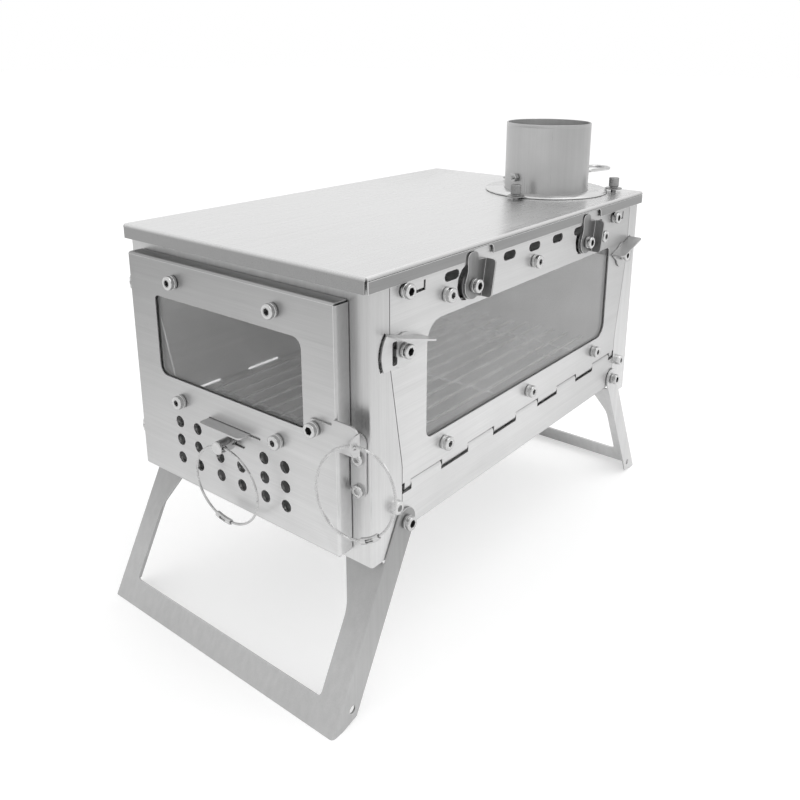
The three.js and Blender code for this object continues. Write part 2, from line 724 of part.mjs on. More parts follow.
// A corner latch about its own pivot, drawn as (y, z) for the front right corner.
function cornerLatch() {
  const shelfFront = new THREE.Vector2(-13.4, 11.8);
  const shelfBack = new THREE.Vector2(17.9, 2.9);
  const rim = arc(0, 0, latchRim, 139, 206, 6);
  const outline = [...rim, new THREE.Vector2(-8, -8), new THREE.Vector2(8, -4), shelfBack];
  const disc = plate(arc(0, 0, latchDisc, 0, 360, 16), leverSheet, growingRight(0));
  const blade = plate(outline, leverSheet, growingRight(0));
  const line = shelfBack.clone().sub(shelfFront);
  const shelf = rectangle(0, 0, line.length(), latchShelf + leverSheet, [0, 0, 3, 1.5], 3);
  const lean = new THREE.Vector3(0, line.x, line.y).normalize();
  const thickness = new THREE.Vector3().crossVectors(lean, right);
  const matrix = new THREE.Matrix4().makeBasis(lean, right, thickness);
  matrix.setPosition(0, shelfFront.x, shelfFront.y).multiply(new THREE.Matrix4().makeTranslation(0, 0, -0.1));
  let latch = join(disc, blade, plate(shelf, leverSheet, matrix));
  // Window next to the pivot, and the hook bent inwards from it.
  const slot = rectangle(-9.6, -6.3, -5.6, 6.6, [1, 1, 1, 1], 2);
  latch = cut(latch, plate(slot, 4, growingRight(-1)));
  const hook = box([-2.4, leverSheet], [-6.4, -5.5], [-2, 2]);
  // Lip along the rim that runs in the arc slot of the end frame.
  const lip = plate(band(0, 0, latchRim - 0.9, latchRim, 172, 184, 2), 2.7 + leverSheet, growingRight(-2.7));
  latch = join(latch, hook, lip);
  return cut(latch, bar(holeRadius, point(-1, 0, 0), point(3, 0, 0)));
}

// ---------------------------------------------------------------- legs
// A leg drawn straight down from its pivot: width along x, face towards -Y.
function leg() {
  const length = legLength + 12;
  const folded = new THREE.Matrix4().makeBasis(right, forward, up.clone().negate());
  folded.setPosition(0, -legHalfFlange, 12);
  let shape = plate(channelOutline(legHalfWidth, 2 * legHalfFlange, legSheet, 2.2, 3), length, folded);
  // Side outline (y, z): round at the pivot, flat on the floor when the leg is open.
  const pivotHeight = down(legPivotDepth);
  const floorAt = (y) => -(pivotHeight - y * Math.sin(legAngle)) / Math.cos(legAngle);
  const rear = legHalfFlange;
  const outline = [
    ...arc(0, 0, legHalfFlange, 0, 180, 9),
    new THREE.Vector2(-legHalfFlange, floorAt(-legHalfFlange)),
    new THREE.Vector2(-1, floorAt(-1)),
    new THREE.Vector2(rear, -legCrossbar - 5),
  ];
  shape = shape.intersect(plate(outline, 2 * legHalfWidth + 2, growingRight(-legHalfWidth - 1)));
  // Opening of the face: straight strips that widen in a large curve to the top corners.
  const inner = legHalfWidth - legStrip;
  const top = -legFaceTop;
  const wide = 13;
  const outer = legHalfWidth + 1;
  const opening = rounded(
    [
      [-inner, -legCrossbar, 3],
      [inner, -legCrossbar, 3],
      [inner, top - 30, 26],
      [inner - wide, top, 0],
      [inner - wide, top + 2, 0],
      [-inner + wide, top + 2, 0],
      [-inner + wide, top, 0],
      [-inner, top - 30, 26],
    ],
    6,
  );
  shape = cut(shape, plate(opening, 6, growingForward(-legHalfFlange + 4)));
  // Above the face only the two flanges go on to the pivots.
  const flange = legHalfWidth - legSheet;
  shape = cut(shape, box([-flange, flange], [-legHalfFlange - 1, legHalfFlange + 1], [top, 13]));
  const across = (y, z, radius) => bar(radius, point(-outer, y, z), point(outer, y, z));
  return cut(shape, across(0, 0, holeRadius), across(2, -legCrossbar - 1, 2.5));
}

// ---------------------------------------------------------------- lid and flue
// The upright edge of the lid on one side, with a notch round each lever.
function lidEdge(side) {
  const end = lidLength / 2 - cornerSlit;
  const strip = rectangle(-end, down(lidFlange), end, down(lidEdgeTop));
  const across = growingRight(side > 0 ? lidWidth / 2 - lidSheet : -lidWidth / 2);
  const notches = [-leverOffset, leverOffset].map((y) => {
    const [low, roof] = [down(lidFlange + 1), down(notchDepth)];
    const outline = rectangle(y - notchFront, low, y + notchBack, roof, [0, 0, 3, 3], 3);
    return plate(outline, lidWidth + 2, growingRight(-lidWidth / 2 - 1));
  });
  return cut(plate(strip, lidSheet, across), ...notches);
}

function lid() {
  const upright = new THREE.Matrix4().makeTranslation(0, 0, lidTop);
  let plateBody = moved(foldedTray(lidWidth, lidLength, lidFlange, lidSheet, lidBend), upright);
  for (const side of [-1, 1]) {
    const middle = side * (lidWidth - lidSheet) / 2;
    const across = [middle - lidSheet, middle + lidSheet];
    plateBody = cut(plateBody, box(across, [-lidLength, lidLength], [down(lidFlange + 1), down(lidEdgeTop - clearance)]));
  }
  const bore = bar(flueHole, point(flueX, flueY, lidTop - 3), point(flueX, flueY, lidTop + 1), 32);
  plateBody = cut(plateBody, bore);
  for (const angle of thumbAngles) {
    const x = flueX + thumbCircle * Math.cos(angle);
    const y = flueY + thumbCircle * Math.sin(angle);
    plateBody = cut(plateBody, bar(holeRadius, point(x, y, lidTop - 3), point(x, y, lidTop + 1)));
  }
  return plateBody;
}

const flangeBottom = lidTop + clearance;
const pipeBottom = flangeBottom;

// A ring about the flue axis from a closed profile of [radius, height].
function turned(profile, steps = 32) {
  const points = profile.map(([radius, height]) => new THREE.Vector2(radius, height));
  points.push(points[0].clone());
  const upright = new THREE.Matrix4().makeTranslation(flueX, flueY, 0);
  upright.multiply(new THREE.Matrix4().makeRotationX(Math.PI / 2));
  return solid(new THREE.LatheGeometry(points, steps), upright);
}

const alongDamper = (reach, sideways = 0, height = 0) =>
  point(
    flueX + reach * Math.cos(damperAngle) - sideways * Math.sin(damperAngle),
    flueY + reach * Math.sin(damperAngle) + sideways * Math.cos(damperAngle),
    lidTop + damperHeight + height,
  );

function fluePipe() {
  const top = lidTop + flueHeight;
  const inner = flueRadius - flueSheet;
  const pipe = turned([
    [inner, pipeBottom],
    [flueRadius, pipeBottom],
    [flueRadius, top],
    [inner, top],
  ]);
  return cut(pipe, bar(damperShaftRadius + 0.25, alongDamper(-40), alongDamper(40)));
}

function flueFlange() {
  const inner = flueRadius + 0.2;
  const top = flangeBottom + flangeThickness;
  return turned([
    [inner, flangeBottom],
    [flangeRadius, flangeBottom],
    [flangeRadius, top - 0.4],
    [flangeRadius - 0.4, top],
    [inner, top],
  ]);
}

// A knurled thumbscrew with a wide washer that reaches over the flange.
function thumbScrew() {
  const seat = flangeThickness + 2 * clearance;
  const profile = [
    [0, -4],
    [shankRadius, -4],
    [shankRadius, seat],
    [6.4, seat],
    [6.4, seat + 0.9],
    [2.8, seat + 1.3],
    [2.8, seat + 2],
    [0, seat + 2],
  ].map(([radius, height]) => new THREE.Vector2(radius, height));
  const upright = new THREE.Matrix4().makeRotationX(Math.PI / 2);
  const screw = solid(new THREE.LatheGeometry(profile, 10), upright);
  const ridges = 9;
  const knurl = Array.from({ length: 2 * ridges }, (_, k) => {
    const degrees = (180 * k) / ridges;
    return arc(0, 0, k % 2 ? 3.3 : 3.75, degrees, degrees + 360, 1)[0];
  });
  const nut = bar(3.4, point(0, 0, -4.4), point(0, 0, -1.4), 6);
  return join(screw, plate(knurl, 7, growingUp(seat + 1.8)), nut);
}

function damperPlate() {
  const lift = damperShaftRadius + 0.2;
  const top = lidTop + damperHeight + lift;
  let disc = turned([
    [0, top],
    [damperPlateRadius, top],
    [damperPlateRadius, top + 1],
    [0, top + 1],
  ]);
  // Two vent holes beside the shaft.
  for (const side of [-1, 1]) {
    const hole = alongDamper(0, side * 17);
    disc = cut(disc, bar(4, hole.clone().setZ(top - 1), hole.clone().setZ(top + 2)));
  }
  return disc;
}

// The shaft across the pipe, its end nut, and the wire loop that turns it.
function damperShaft() {
  const shaft = bar(damperShaftRadius, alongDamper(-38.5), alongDamper(39), 8);
  const nut = bar(3.4, alongDamper(-36.2), alongDamper(-32.6), 6);
  const [from, to, half, corner] = [38.6, 67.5, 8.6, 6];
  const corners = rectangle(from, -half, to, half, [3, corner, corner, 3], 4);
  const path = new THREE.CatmullRomCurve3(
    corners.map((here) => alongDamper(here.x, here.y)),
    true,
    "catmullrom",
    0.2,
  );
  return join(shaft, nut, solid(new THREE.TubeGeometry(path, 24, 1.4, 6, true)));
}

// ---------------------------------------------------------------- door
const doorWidth = doorRight - doorLeft;
const doorHeight = doorBottomDepth - doorTopDepth;
const doorInside = doorFront + sheet;
const windowLeft = doorLeft + 24.5;
const windowRight = doorRight - 24.2;

const airHoles = airRows.flatMap((depth, row) =>
  airColumns
    .filter((column) => row > 0 || Math.abs(column) > 10)
    .map((column) => [doorMiddle + column, down(depth)]),
);

function doorShell() {
  const middle = point(doorMiddle, doorFront, (down(doorTopDepth) + down(doorBottomDepth)) / 2);
  const facing = new THREE.Matrix4().makeBasis(right, up, forward).setPosition(middle);
  let door = moved(foldedTray(doorWidth, doorHeight, doorBack - doorFront, sheet, doorBend), facing);
  const slotTop = down(slideTopDepth - 0.3);
  const holes = [
    rectangle(windowLeft, down(doorWindowBottomDepth), windowRight, down(doorWindowTopDepth), [6, 2, 6, 3], 4),
    rectangle(knobX - 21.2, slotTop - 1.8, knobX + 23.6, slotTop, [0.4, 0.4, 0.4, 0.4], 1),
    rectangle(knobX - 2.2, down(knobDepth) - 2.1, knobX + airTravel + 2.2, down(knobDepth) + 2.1, [1.8, 1.8, 1.8, 1.8], 3),
    ...airHoles.map(([x, z]) => arc(x, z, airHoleRadius, 0, 360, 12)),
    arc(latchPivotX, down(doorLatchDepth), holeRadius, 0, 360, 8),
  ];
  for (const side of [-1, 1]) {
    for (const depth of [doorScrewTopDepth, doorScrewBottomDepth]) {
      holes.push(arc(doorMiddle + side * doorScrewOffset, down(depth), holeRadius, 0, 360, 8));
    }
  }
  for (const points of holes) door = cut(door, plate(points, 4, growingForward(doorFront + 2)));
  // Rail that carries the air slide, with a lip behind the slide's lower edge.
  const [from, to] = [doorMiddle - 62, doorMiddle + 70];
  const [railLow, railHigh] = [down(slideBottomDepth + 1.5), down(slideBottomDepth + 0.4)];
  door = join(
    door,
    box([from, to], [doorInside - 0.1, doorInside + 2.6], [railLow, railHigh]),
    box([from, to], [doorInside + 1.7, doorInside + 2.6], [railLow, railHigh + 3.1]),
  );
  // One lug of each door hinge.
  for (const depth of doorHingeDepths) {
    const [z0, z1] = [down(depth) - hingeLug / 2, down(depth) + hingeLug / 2];
    door = join(
      door,
      box([doorHingeX, doorLeft + 0.2], [doorHingeY - hingeLugRadius, doorHingeY + hingeLugRadius], [z0, z1]),
      bar(hingeLugRadius, point(doorHingeX, doorHingeY, z0), point(doorHingeX, doorHingeY, z1), 10),
    );
    door = cut(door, bar(hingePinRadius + 0.2, point(doorHingeX, doorHingeY, z0 - 1), point(doorHingeX, doorHingeY, z1 + 1)));
  }
  return door;
}

// Lugs of the door hinges on the front frame, above and below each door lug.
function frameLugs() {
  const lugs = [];
  for (const depth of doorHingeDepths) {
    for (const way of [-1, 1]) {
      const middle = down(depth) + way * (hingeLug + clearance);
      const [z0, z1] = [middle - hingeLug / 2, middle + hingeLug / 2];
      const lug = join(
        box([doorHingeX - 2.2, doorHingeX + 2.2], [doorHingeY, -bodyHalfLength + 0.2], [z0, z1]),
        bar(2.2, point(doorHingeX, doorHingeY, z0), point(doorHingeX, doorHingeY, z1), 10),
      );
      lugs.push(cut(lug, bar(hingePinRadius + 0.2, point(doorHingeX, doorHingeY, z0 - 1), point(doorHingeX, doorHingeY, z1 + 1))));
    }
  }
  return lugs;
}

function hingePin(depth) {
  const half = 1.5 * hingeLug + clearance;
  const [z0, z1] = [down(depth) - half, down(depth) + half];
  return join(
    bar(hingePinRadius, point(doorHingeX, doorHingeY, z0 - 0.6), point(doorHingeX, doorHingeY, z1 + 0.3), 10),
    bar(1.9, point(doorHingeX, doorHingeY, z1 + 0.2), point(doorHingeX, doorHingeY, z1 + 1), 10),
    bar(1.6, point(doorHingeX, doorHingeY, z0 - 1), point(doorHingeX, doorHingeY, z0 - 0.2), 10),
  );
}

const doorGlassBack = doorInside + clearance + glassThickness;

function doorGlass() {
  const margin = 6;
  const low = down(doorWindowBottomDepth) - margin + 1;
  const outline = rectangle(windowLeft - margin, low, windowRight + margin, down(doorWindowTopDepth) + margin);
  return plate(outline, glassThickness, growingForward(doorGlassBack));
}

function doorGlassFrame() {
  const face = doorGlassBack + clearance + sheet;
  const [left, rightEnd] = [windowLeft - 11, windowRight + 11];
  const outer = rectangle(left, down(doorScrewBottomDepth + 4), rightEnd, down(doorScrewTopDepth - 4), [3, 3, 3, 3], 2);
  const [low, high] = [down(doorWindowBottomDepth) - 0.5, down(doorWindowTopDepth) + 0.5];
  const inner = rectangle(windowLeft - 0.5, low, windowRight + 0.5, high, [4, 4, 4, 4], 2);
  let frame = plate(outer, sheet, growingForward(face), [inner]);
  for (const side of [-1, 1]) {
    for (const depth of [doorScrewTopDepth, doorScrewBottomDepth]) {
      const seat = doorFront - clearance;
      const place = facingFront(doorMiddle + side * doorScrewOffset, seat, down(depth));
      frame = join(frame, moved(socketScrew(face - seat - 0.1), place));
    }
  }
  return frame;
}

// Slide with the same holes as the door, and a lip bent out through the slot above them.
function airSlide() {
  const front = doorInside + clearance;
  const thickness = 1;
  const [low, high] = [down(slideBottomDepth), down(slideTopDepth)];
  const outline = rectangle(doorMiddle - 57, low, doorMiddle + 57, high, [2, 2, 2, 2], 2);
  const holes = airHoles.map(([x, z]) => arc(x, z, airHoleRadius + 0.2, 0, 360, 8));
  holes.push(arc(knobX, down(knobDepth), 1.9, 0, 360, 8));
  const slide = plate(outline, thickness, growingForward(front + thickness), holes);
  const lip = rectangle(knobX - 20.6, doorFront - 8.2, knobX + 15, front + 0.5, [2.5, 2.5, 0, 0], 3);
  return join(slide, plate(lip, 1, growingUp(down(slideTopDepth + 1.1))));
}

function airKnob() {
  const z = down(knobDepth);
  const shank = bar(1.6, point(knobX, doorInside + 4.4, z), point(knobX, doorFront - 2.5, z), 12);
  const nut = bar(3.6, point(knobX, doorInside + 3.7, z), point(knobX, doorInside + 1.6, z), 6);
  const profile = [
    [0, 0],
    [knobRadius - 0.4, 0],
    [knobRadius, 0.4],
    [knobRadius, 10.2],
    [knobRadius - 0.6, 10.8],
    [0, 10.8],
  ].map(([radius, height]) => new THREE.Vector2(radius, height));
  const place = facingFront(knobX, knobFront + 10.8, z).multiply(new THREE.Matrix4().makeRotationX(Math.PI / 2));
  const head = solid(new THREE.LatheGeometry(profile, 16), place);
  const hole = bar(knobHoleRadius, point(knobX - 6, knobHoleY, z), point(knobX + 6, knobHoleY, z), 12);
  return cut(join(shank, nut, head), hole);
}

// ---------------------------------------------------------------- door latch
function doorLatch() {
  const z = down(doorLatchDepth);
  const back = doorFront - clearance;
  const step = doorRight - 2.5;
  const thickness = 1;
  const arm = rounded(
    [
      [latchPivotX - 6, z - 5, 5],
      [step, z - 5, 0],
      [step, z - 8.1, 2],
      [eyeX + 0.9, z - 8.1, 4],
      [eyeX + 0.9, z + 8.5, 5.5],
      [step, z + 8.5, 2],
      [step, z + 5, 0],
      [latchPivotX - 6, z + 5, 5],
    ],
    4,
  );
  const ear = rounded(
    [
      [back, z - 6.2, 0],
      [back, z + 5.8, 0],
      [eyeY - 3.2, z + 5.8, 5.2],
      [eyeY - 3.2, z - 6.2, 5.2],
    ],
    4,
  );
  const latch = join(
    plate(arm, thickness, growingForward(back)),
    plate(ear, thickness, growingRight(eyeX - 0.1)),
  );
  return cut(
    latch,
    bar(holeRadius, point(latchPivotX, back + 1, z), point(latchPivotX, back - 3, z)),
    bar(1.9, point(eyeX - 2, eyeY, z), point(eyeX + 3, eyeY, z)),
  );
}

const keeperX = bodyHalfWidth - 7.8;
const keeperDepths = [doorLatchDepth + 15, doorLatchDepth + 33.4];

function latchKeeper() {
  const back = -bodyHalfLength - clearance;
  const thickness = 1;
  const outline = rectangle(doorRight + 0.7, down(doorLatchDepth + 37.1), bodyHalfWidth - 2.5, down(doorLatchDepth + 0.3), [5, 5, 5, 5], 4);
  let keeper = plate(outline, thickness, growingForward(back));
  for (const depth of keeperDepths) {
    const place = facingFront(keeperX, back - thickness + 0.1, down(depth));
    keeper = join(keeper, moved(socketScrew(6, 0, 3.5, 2), place));
  }
  return keeper;
}

// ---------------------------------------------------------------- fire grate
function fireGrate() {
  const pieces = [];
  const half = ((grateRods - 1) / 2) * gratePitch;
  for (let k = 0; k < grateRods; k++) {
    const x = -half + k * gratePitch;
    pieces.push(bar(grateWire, point(x, -grateHalfLength, grateHeight), point(x, grateHalfLength, grateHeight), 6));
  }
  const low = grateHeight - 2 * grateWire + 0.3;
  const floor = down(trayDepth) + sheet + clearance;
  for (const y of [30 - grateHalfLength, 0, grateHalfLength - 30]) {
    const reach = half + 4;
    pieces.push(bar(grateWire, point(-reach, y, low), point(reach, y, low), 6));
    for (const side of [-1, 1]) {
      pieces.push(bar(grateWire, point(side * (reach - 1), y, low), point(side * (reach - 1), y, floor), 6));
    }
  }
  return join(...pieces);
}

// ---------------------------------------------------------------- assembly
const doorOpening = rectangle(
  doorLeft + 5.5,
  down(doorBottomDepth - 6.5),
  doorRight - 6,
  down(doorTopDepth + 6.5),
  [3, 3, 3, 3],
  3,
);
const keeperHoles = keeperDepths.map((depth) =>
  bar(holeRadius, point(keeperX, -bodyHalfLength - 1, down(depth)), point(keeperX, -bodyHalfLength + 3, down(depth))),
);
addPiece("base_tray", baseTray(), steel);
addPiece("front_frame", join(cut(endFrame(doorOpening, hangFront), ...keeperHoles), ...frameLugs()), steel);

const backEnd = new THREE.Group();
backEnd.rotation.z = Math.PI;
stove.add(backEnd);
addPiece("back_panel", endFrame(null, -hangBack), steel, backEnd);

const panels = { right: sidePanel(true), left: sidePanel(false) };
const rodReach = panelHalfLength + 0.6;
for (const [name, group] of Object.entries(sides)) {
  addPiece("side_panel_" + name, panels[name], steel, group);
  const hingeX = bodyHalfWidth - curlOuter;
  const rod = bar(hingeRodRadius, point(hingeX, -rodReach, 0), point(hingeX, rodReach, 0), 8);
  addPiece("hinge_rod_" + name, rod, polished, group).position.z = down(hingeDepth);
  for (const [end, way] of Object.entries({ front: -1, back: 1 })) {
    const label = end + "_" + name;
    const screwAt = (piece, length, nut, x, y, depth) => {
      const mesh = addPiece(piece, socketScrew(length, nut), polished, group);
      mesh.rotation.y = Math.PI / 2;
      mesh.position.set(x, y, down(depth));
    };
    addPiece("top_lever_" + label, topLever(), darkSteel, group).position.set(
      leverInside,
      way * leverOffset,
      down(leverDepth),
    );
    const seat = leverOutside + clearance;
    screwAt("lever_screw_" + label, 4, 2.8, seat, way * leverOffset, leverDepth);
    const latch = addPiece("corner_latch_" + label, cornerLatch(), steel, group);
    latch.position.set(leverInside, way * latchOffset, down(latchDepth));
    if (way > 0) latch.scale.y = -1;
    screwAt("latch_screw_" + label, 4, 2.8, seat, way * latchOffset, latchDepth);
    const hangY = way < 0 ? hangFront : hangBack;
    screwAt("hang_screw_" + label, 3.2, 0, bodyHalfWidth + clearance, hangY, hangDepth);
    const legSeat = legHalfWidth + clearance;
    screwAt("leg_screw_" + label, 5.4, 0, legSeat, way * legOffset, legPivotDepth);
  }
}
addPiece("side_glass", sideGlass(), glass, sides.right);
addPiece("side_glass_frame", sideGlassFrame(), polished, sides.right);

for (const [name, turn] of [["front_leg", 0], ["back_leg", Math.PI]]) {
  const end = new THREE.Group();
  end.rotation.z = turn;
  const pivot = new THREE.Group();
  pivot.position.set(0, -legOffset, down(legPivotDepth));
  pivot.rotation.x = -legAngle;
  addPiece(name, leg(), legSteel, pivot);
  end.add(pivot);
  stove.add(end);
}

addPiece("top_plate", lid(), lidSteel);
addPiece("lid_edge_right", lidEdge(1), lidSteel);
addPiece("lid_edge_left", lidEdge(-1), lidSteel);
addPiece("flue_collar", fluePipe(), steel);
addPiece("collar_flange", flueFlange(), steel);
thumbAngles.forEach((angle, k) => {
  const screw = addPiece("thumbscrew_" + (k + 1), thumbScrew(), darkSteel);
  screw.position.set(flueX + thumbCircle * Math.cos(angle), flueY + thumbCircle * Math.sin(angle), lidTop);
});
addPiece("damper_plate", damperPlate(), steel);
addPiece("damper_shaft", damperShaft(), polished);

addPiece("door_shell", doorShell(), steel);
addPiece("door_glass", doorGlass(), glass);
addPiece("door_glass_frame", doorGlassFrame(), polished);
addPiece("door_hinge_pin_upper", hingePin(doorHingeDepths[0]), polished);
addPiece("door_hinge_pin_lower", hingePin(doorHingeDepths[1]), polished);
addPiece("air_slide", airSlide(), steel);
addPiece("air_knob", airKnob(), polished);
addPiece("door_latch", doorLatch(), steel);
const latchScrew = addPiece("door_latch_screw", socketScrew(3.6, 2.6), polished);
latchScrew.rotation.x = Math.PI / 2;
latchScrew.position.set(latchPivotX, doorFront - 2 * clearance - 1, down(doorLatchDepth));
addPiece("latch_keeper", latchKeeper(), steel);

const pullRing = new THREE.Group();
pullRing.position.set(knobX, knobHoleY, down(knobDepth));
const pull = [pullRingRadius, pullRingRadius, pullRingOffset];
addPiece("pull_ring", wireLoop(...pull), wire, pullRing);
addPiece("pull_ring_barrel", loopBarrel(...pull, 0.695, 0.775), wire, pullRing);
const latchRing = new THREE.Group();
latchRing.position.set(eyeX + 0.4, eyeY, down(doorLatchDepth));
latchRing.rotation.z = latchRingTurn;
const hanging = [latchRingHalfWidth, latchRingHalfHeight, 0];
addPiece("latch_ring", wireLoop(...hanging), wire, latchRing);
addPiece("latch_ring_barrel", loopBarrel(...hanging, 0.755, 0.835), wire, latchRing);
stove.add(pullRing, latchRing);

addPiece("fire_grate", fireGrate(), darkSteel);

stove.position.x = -originX;

export default stove;
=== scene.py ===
"""Looks of a folding tent wood stove: brushed sheet steel, glass windows, wire rings and a flue collar."""

import json
import math

import bmesh
import bpy
from mathutils import Matrix, Vector

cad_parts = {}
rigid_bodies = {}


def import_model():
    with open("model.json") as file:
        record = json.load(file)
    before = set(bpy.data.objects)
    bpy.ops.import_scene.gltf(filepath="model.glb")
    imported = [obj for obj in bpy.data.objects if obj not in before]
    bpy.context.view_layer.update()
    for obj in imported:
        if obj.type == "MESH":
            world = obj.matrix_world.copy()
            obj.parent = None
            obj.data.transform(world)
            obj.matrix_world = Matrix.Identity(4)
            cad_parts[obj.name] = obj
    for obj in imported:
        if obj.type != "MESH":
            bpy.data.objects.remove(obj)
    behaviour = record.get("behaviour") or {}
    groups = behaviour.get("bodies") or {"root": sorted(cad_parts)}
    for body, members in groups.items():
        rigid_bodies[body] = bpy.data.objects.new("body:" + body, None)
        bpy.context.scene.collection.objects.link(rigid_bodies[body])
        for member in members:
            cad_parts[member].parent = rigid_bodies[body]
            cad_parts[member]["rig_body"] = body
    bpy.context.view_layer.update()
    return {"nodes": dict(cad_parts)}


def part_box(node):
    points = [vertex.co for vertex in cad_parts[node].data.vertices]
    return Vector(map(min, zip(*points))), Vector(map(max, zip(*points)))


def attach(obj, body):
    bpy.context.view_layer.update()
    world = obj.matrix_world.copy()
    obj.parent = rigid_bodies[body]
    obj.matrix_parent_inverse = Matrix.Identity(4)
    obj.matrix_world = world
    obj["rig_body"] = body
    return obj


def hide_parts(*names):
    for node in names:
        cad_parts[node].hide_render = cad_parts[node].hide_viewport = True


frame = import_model()
nodes = frame["nodes"]
millimetre = 0.001
origin_x = 5.8  # the frame's x is measured from here, in mm from the middle of the body
lid_top = 248.4


def at(x, y, z):
    """A point given in mm from the middle of the body and above the floor."""
    return Vector((x - origin_x, y, z)) * millimetre


# ---------------------------------------------------------------- camera
camera_place = Vector((0.3414, -0.4436, 0.3521))
camera_forward = Vector((-0.586, 0.761, -0.279)).normalized()
camera_up = Vector((-0.176, 0.216, 0.960)).normalized()
focal_pixels = 818.35
frame_pixels = 800
middle_pixel = (418.3, 288.0)
sensor = 36.0

camera_data = bpy.data.cameras.new("camera")
camera = bpy.data.objects.new("camera", camera_data)
bpy.context.scene.collection.objects.link(camera)
camera_right = camera_forward.cross(camera_up).normalized()
camera_up = camera_right.cross(camera_forward).normalized()
turn = Matrix((camera_right, camera_up, -camera_forward)).transposed()
camera.matrix_world = Matrix.Translation(camera_place) @ turn.to_4x4()
camera_data.sensor_width = sensor
camera_data.lens = sensor * focal_pixels / frame_pixels
camera_data.shift_x = (frame_pixels / 2 - middle_pixel[0]) / frame_pixels
camera_data.shift_y = (middle_pixel[1] - frame_pixels / 2) / frame_pixels
camera_data.clip_start = 0.01
camera_data.clip_end = 50
bpy.context.scene.camera = camera


# ---------------------------------------------------------------- materials
class Nodes:
    """A material's node tree with short helpers."""

    def __init__(self, name):
        self.material = bpy.data.materials.new(name)
        self.material.use_nodes = True
        self.tree = self.material.node_tree
        self.surface = self.tree.nodes["Principled BSDF"]
        self.output = self.tree.nodes["Material Output"]

    def new(self, kind, **values):
        node = self.tree.nodes.new(kind)
        for key, value in values.items():
            setattr(node, key, value)
        return node

    def link(self, source, target):
        self.tree.links.new(source, target)

    def place(self, scale):
        """Object coordinates, stretched by a scale for each axis."""
        if not hasattr(self, "coordinates"):
            self.coordinates = self.new("ShaderNodeTexCoord")
        mapping = self.new("ShaderNodeMapping")
        mapping.inputs["Scale"].default_value = scale
        self.link(self.coordinates.outputs["Object"], mapping.inputs["Vector"])
        return mapping.outputs["Vector"]

    def noise(self, scale, detail=2.0, roughness=0.5):
        """Noise over object coordinates."""
        node = self.new("ShaderNodeTexNoise")
        node.inputs["Scale"].default_value = 1.0
        node.inputs["Detail"].default_value = detail
        node.inputs["Roughness"].default_value = roughness
        self.link(self.place(scale), node.inputs["Vector"])
        return node.outputs["Fac"]

    def ranged(self, value, low, high, start=0.25, end=0.75):
        """A value moved from the range start to end into the range low to high."""
        node = self.new("ShaderNodeMapRange")
        node.inputs["From Min"].default_value = start
        node.inputs["From Max"].default_value = end
        node.inputs["To Min"].default_value = low
        node.inputs["To Max"].default_value = high
        self.link(value, node.inputs["Value"])
        return node.outputs["Result"]

    def product(self, first, second):
        node = self.new("ShaderNodeMath", operation="MULTIPLY")
        self.link(first, node.inputs[0])
        self.link(second, node.inputs[1])
        return node.outputs["Value"]

    def tinted(self, value, colour):
        """A colour made lighter and darker by a value near 1."""
        node = self.new("ShaderNodeVectorMath", operation="SCALE")
        node.inputs[0].default_value = colour[:3]
        self.link(value, node.inputs["Scale"])
        return node.outputs["Vector"]

    def bump(self, height, distance, strength):
        node = self.new("ShaderNodeBump")
        node.inputs["Strength"].default_value = strength
        node.inputs["Distance"].default_value = distance
        self.link(height, node.inputs["Height"])
        self.link(node.outputs["Normal"], self.surface.inputs["Normal"])


def grey(tone):
    """Linear colour of a neutral 0 to 255 tone."""
    linear = (tone / 255) ** 2.2
    return (linear, linear, linear, 1)


fine, long = 2400, 26  # noise scale across and along the grain of brushed steel
band_share = 9  # how much wider the soft bands are than the grain
cloud_scale = (22, 22, 22)
mark_scale, haze_scale = (1500, 1500, 1500), (160, 160, 160)
smear_scale = (60, 20, 60)


def brushed(name, tone, roughness, along="y", streak=0.07, cloud=0.05, painted_light_fades=(), metallic=0.88):
    """Brushed steel whose grain runs along one axis, with faint clouds, and with painted light and shade as slow fades
    along an axis.

    A fade paints light and shade: (axis, start, end, factor at the start, factor at the end), with places in metres."""
    m = Nodes(name)
    scale = tuple(long if axis in along else fine for axis in "xyz")
    grain = m.noise(scale, 3, 0.6)
    bands = m.noise(tuple(s / band_share for s in scale), 2)
    clouds = m.noise(cloud_scale, 3)
    soft = streak * 0.6
    tone_value = m.product(m.ranged(grain, 1 - streak, 1 + streak), m.ranged(bands, 1 - soft, 1 + soft))
    tone_value = m.product(tone_value, m.ranged(clouds, 1 - cloud, 1 + cloud))
    # Painted light and shade: the tone is made lighter or darker along an axis of the object.
    for axis, start, end, low, high in painted_light_fades:
        split = m.new("ShaderNodeSeparateXYZ")
        m.link(m.coordinates.outputs["Object"], split.inputs["Vector"])
        tone_value = m.product(tone_value, m.ranged(split.outputs[axis], low, high, start, end))
    m.link(m.tinted(tone_value, grey(tone)), m.surface.inputs["Base Color"])
    rough = m.product(m.ranged(grain, roughness - 0.05, roughness + 0.07), m.ranged(clouds, 0.88, 1.12))
    m.link(rough, m.surface.inputs["Roughness"])
    m.surface.inputs["Metallic"].default_value = metallic
    m.bump(grain, 0.00003, 0.35)
    return m.material


def polished(name, tone, roughness):
    """Bright turned steel with fine handling marks."""
    m = Nodes(name)
    marks = m.noise(mark_scale, 3)
    clouds = m.noise(haze_scale, 2)
    tone_value = m.product(m.ranged(marks, 0.93, 1.05), m.ranged(clouds, 0.93, 1.05))
    m.link(m.tinted(tone_value, grey(tone)), m.surface.inputs["Base Color"])
    m.link(m.ranged(marks, roughness * 0.7, roughness * 1.5), m.surface.inputs["Roughness"])
    m.surface.inputs["Metallic"].default_value = 1.0
    m.bump(marks, 0.00002, 0.3)
    return m.material


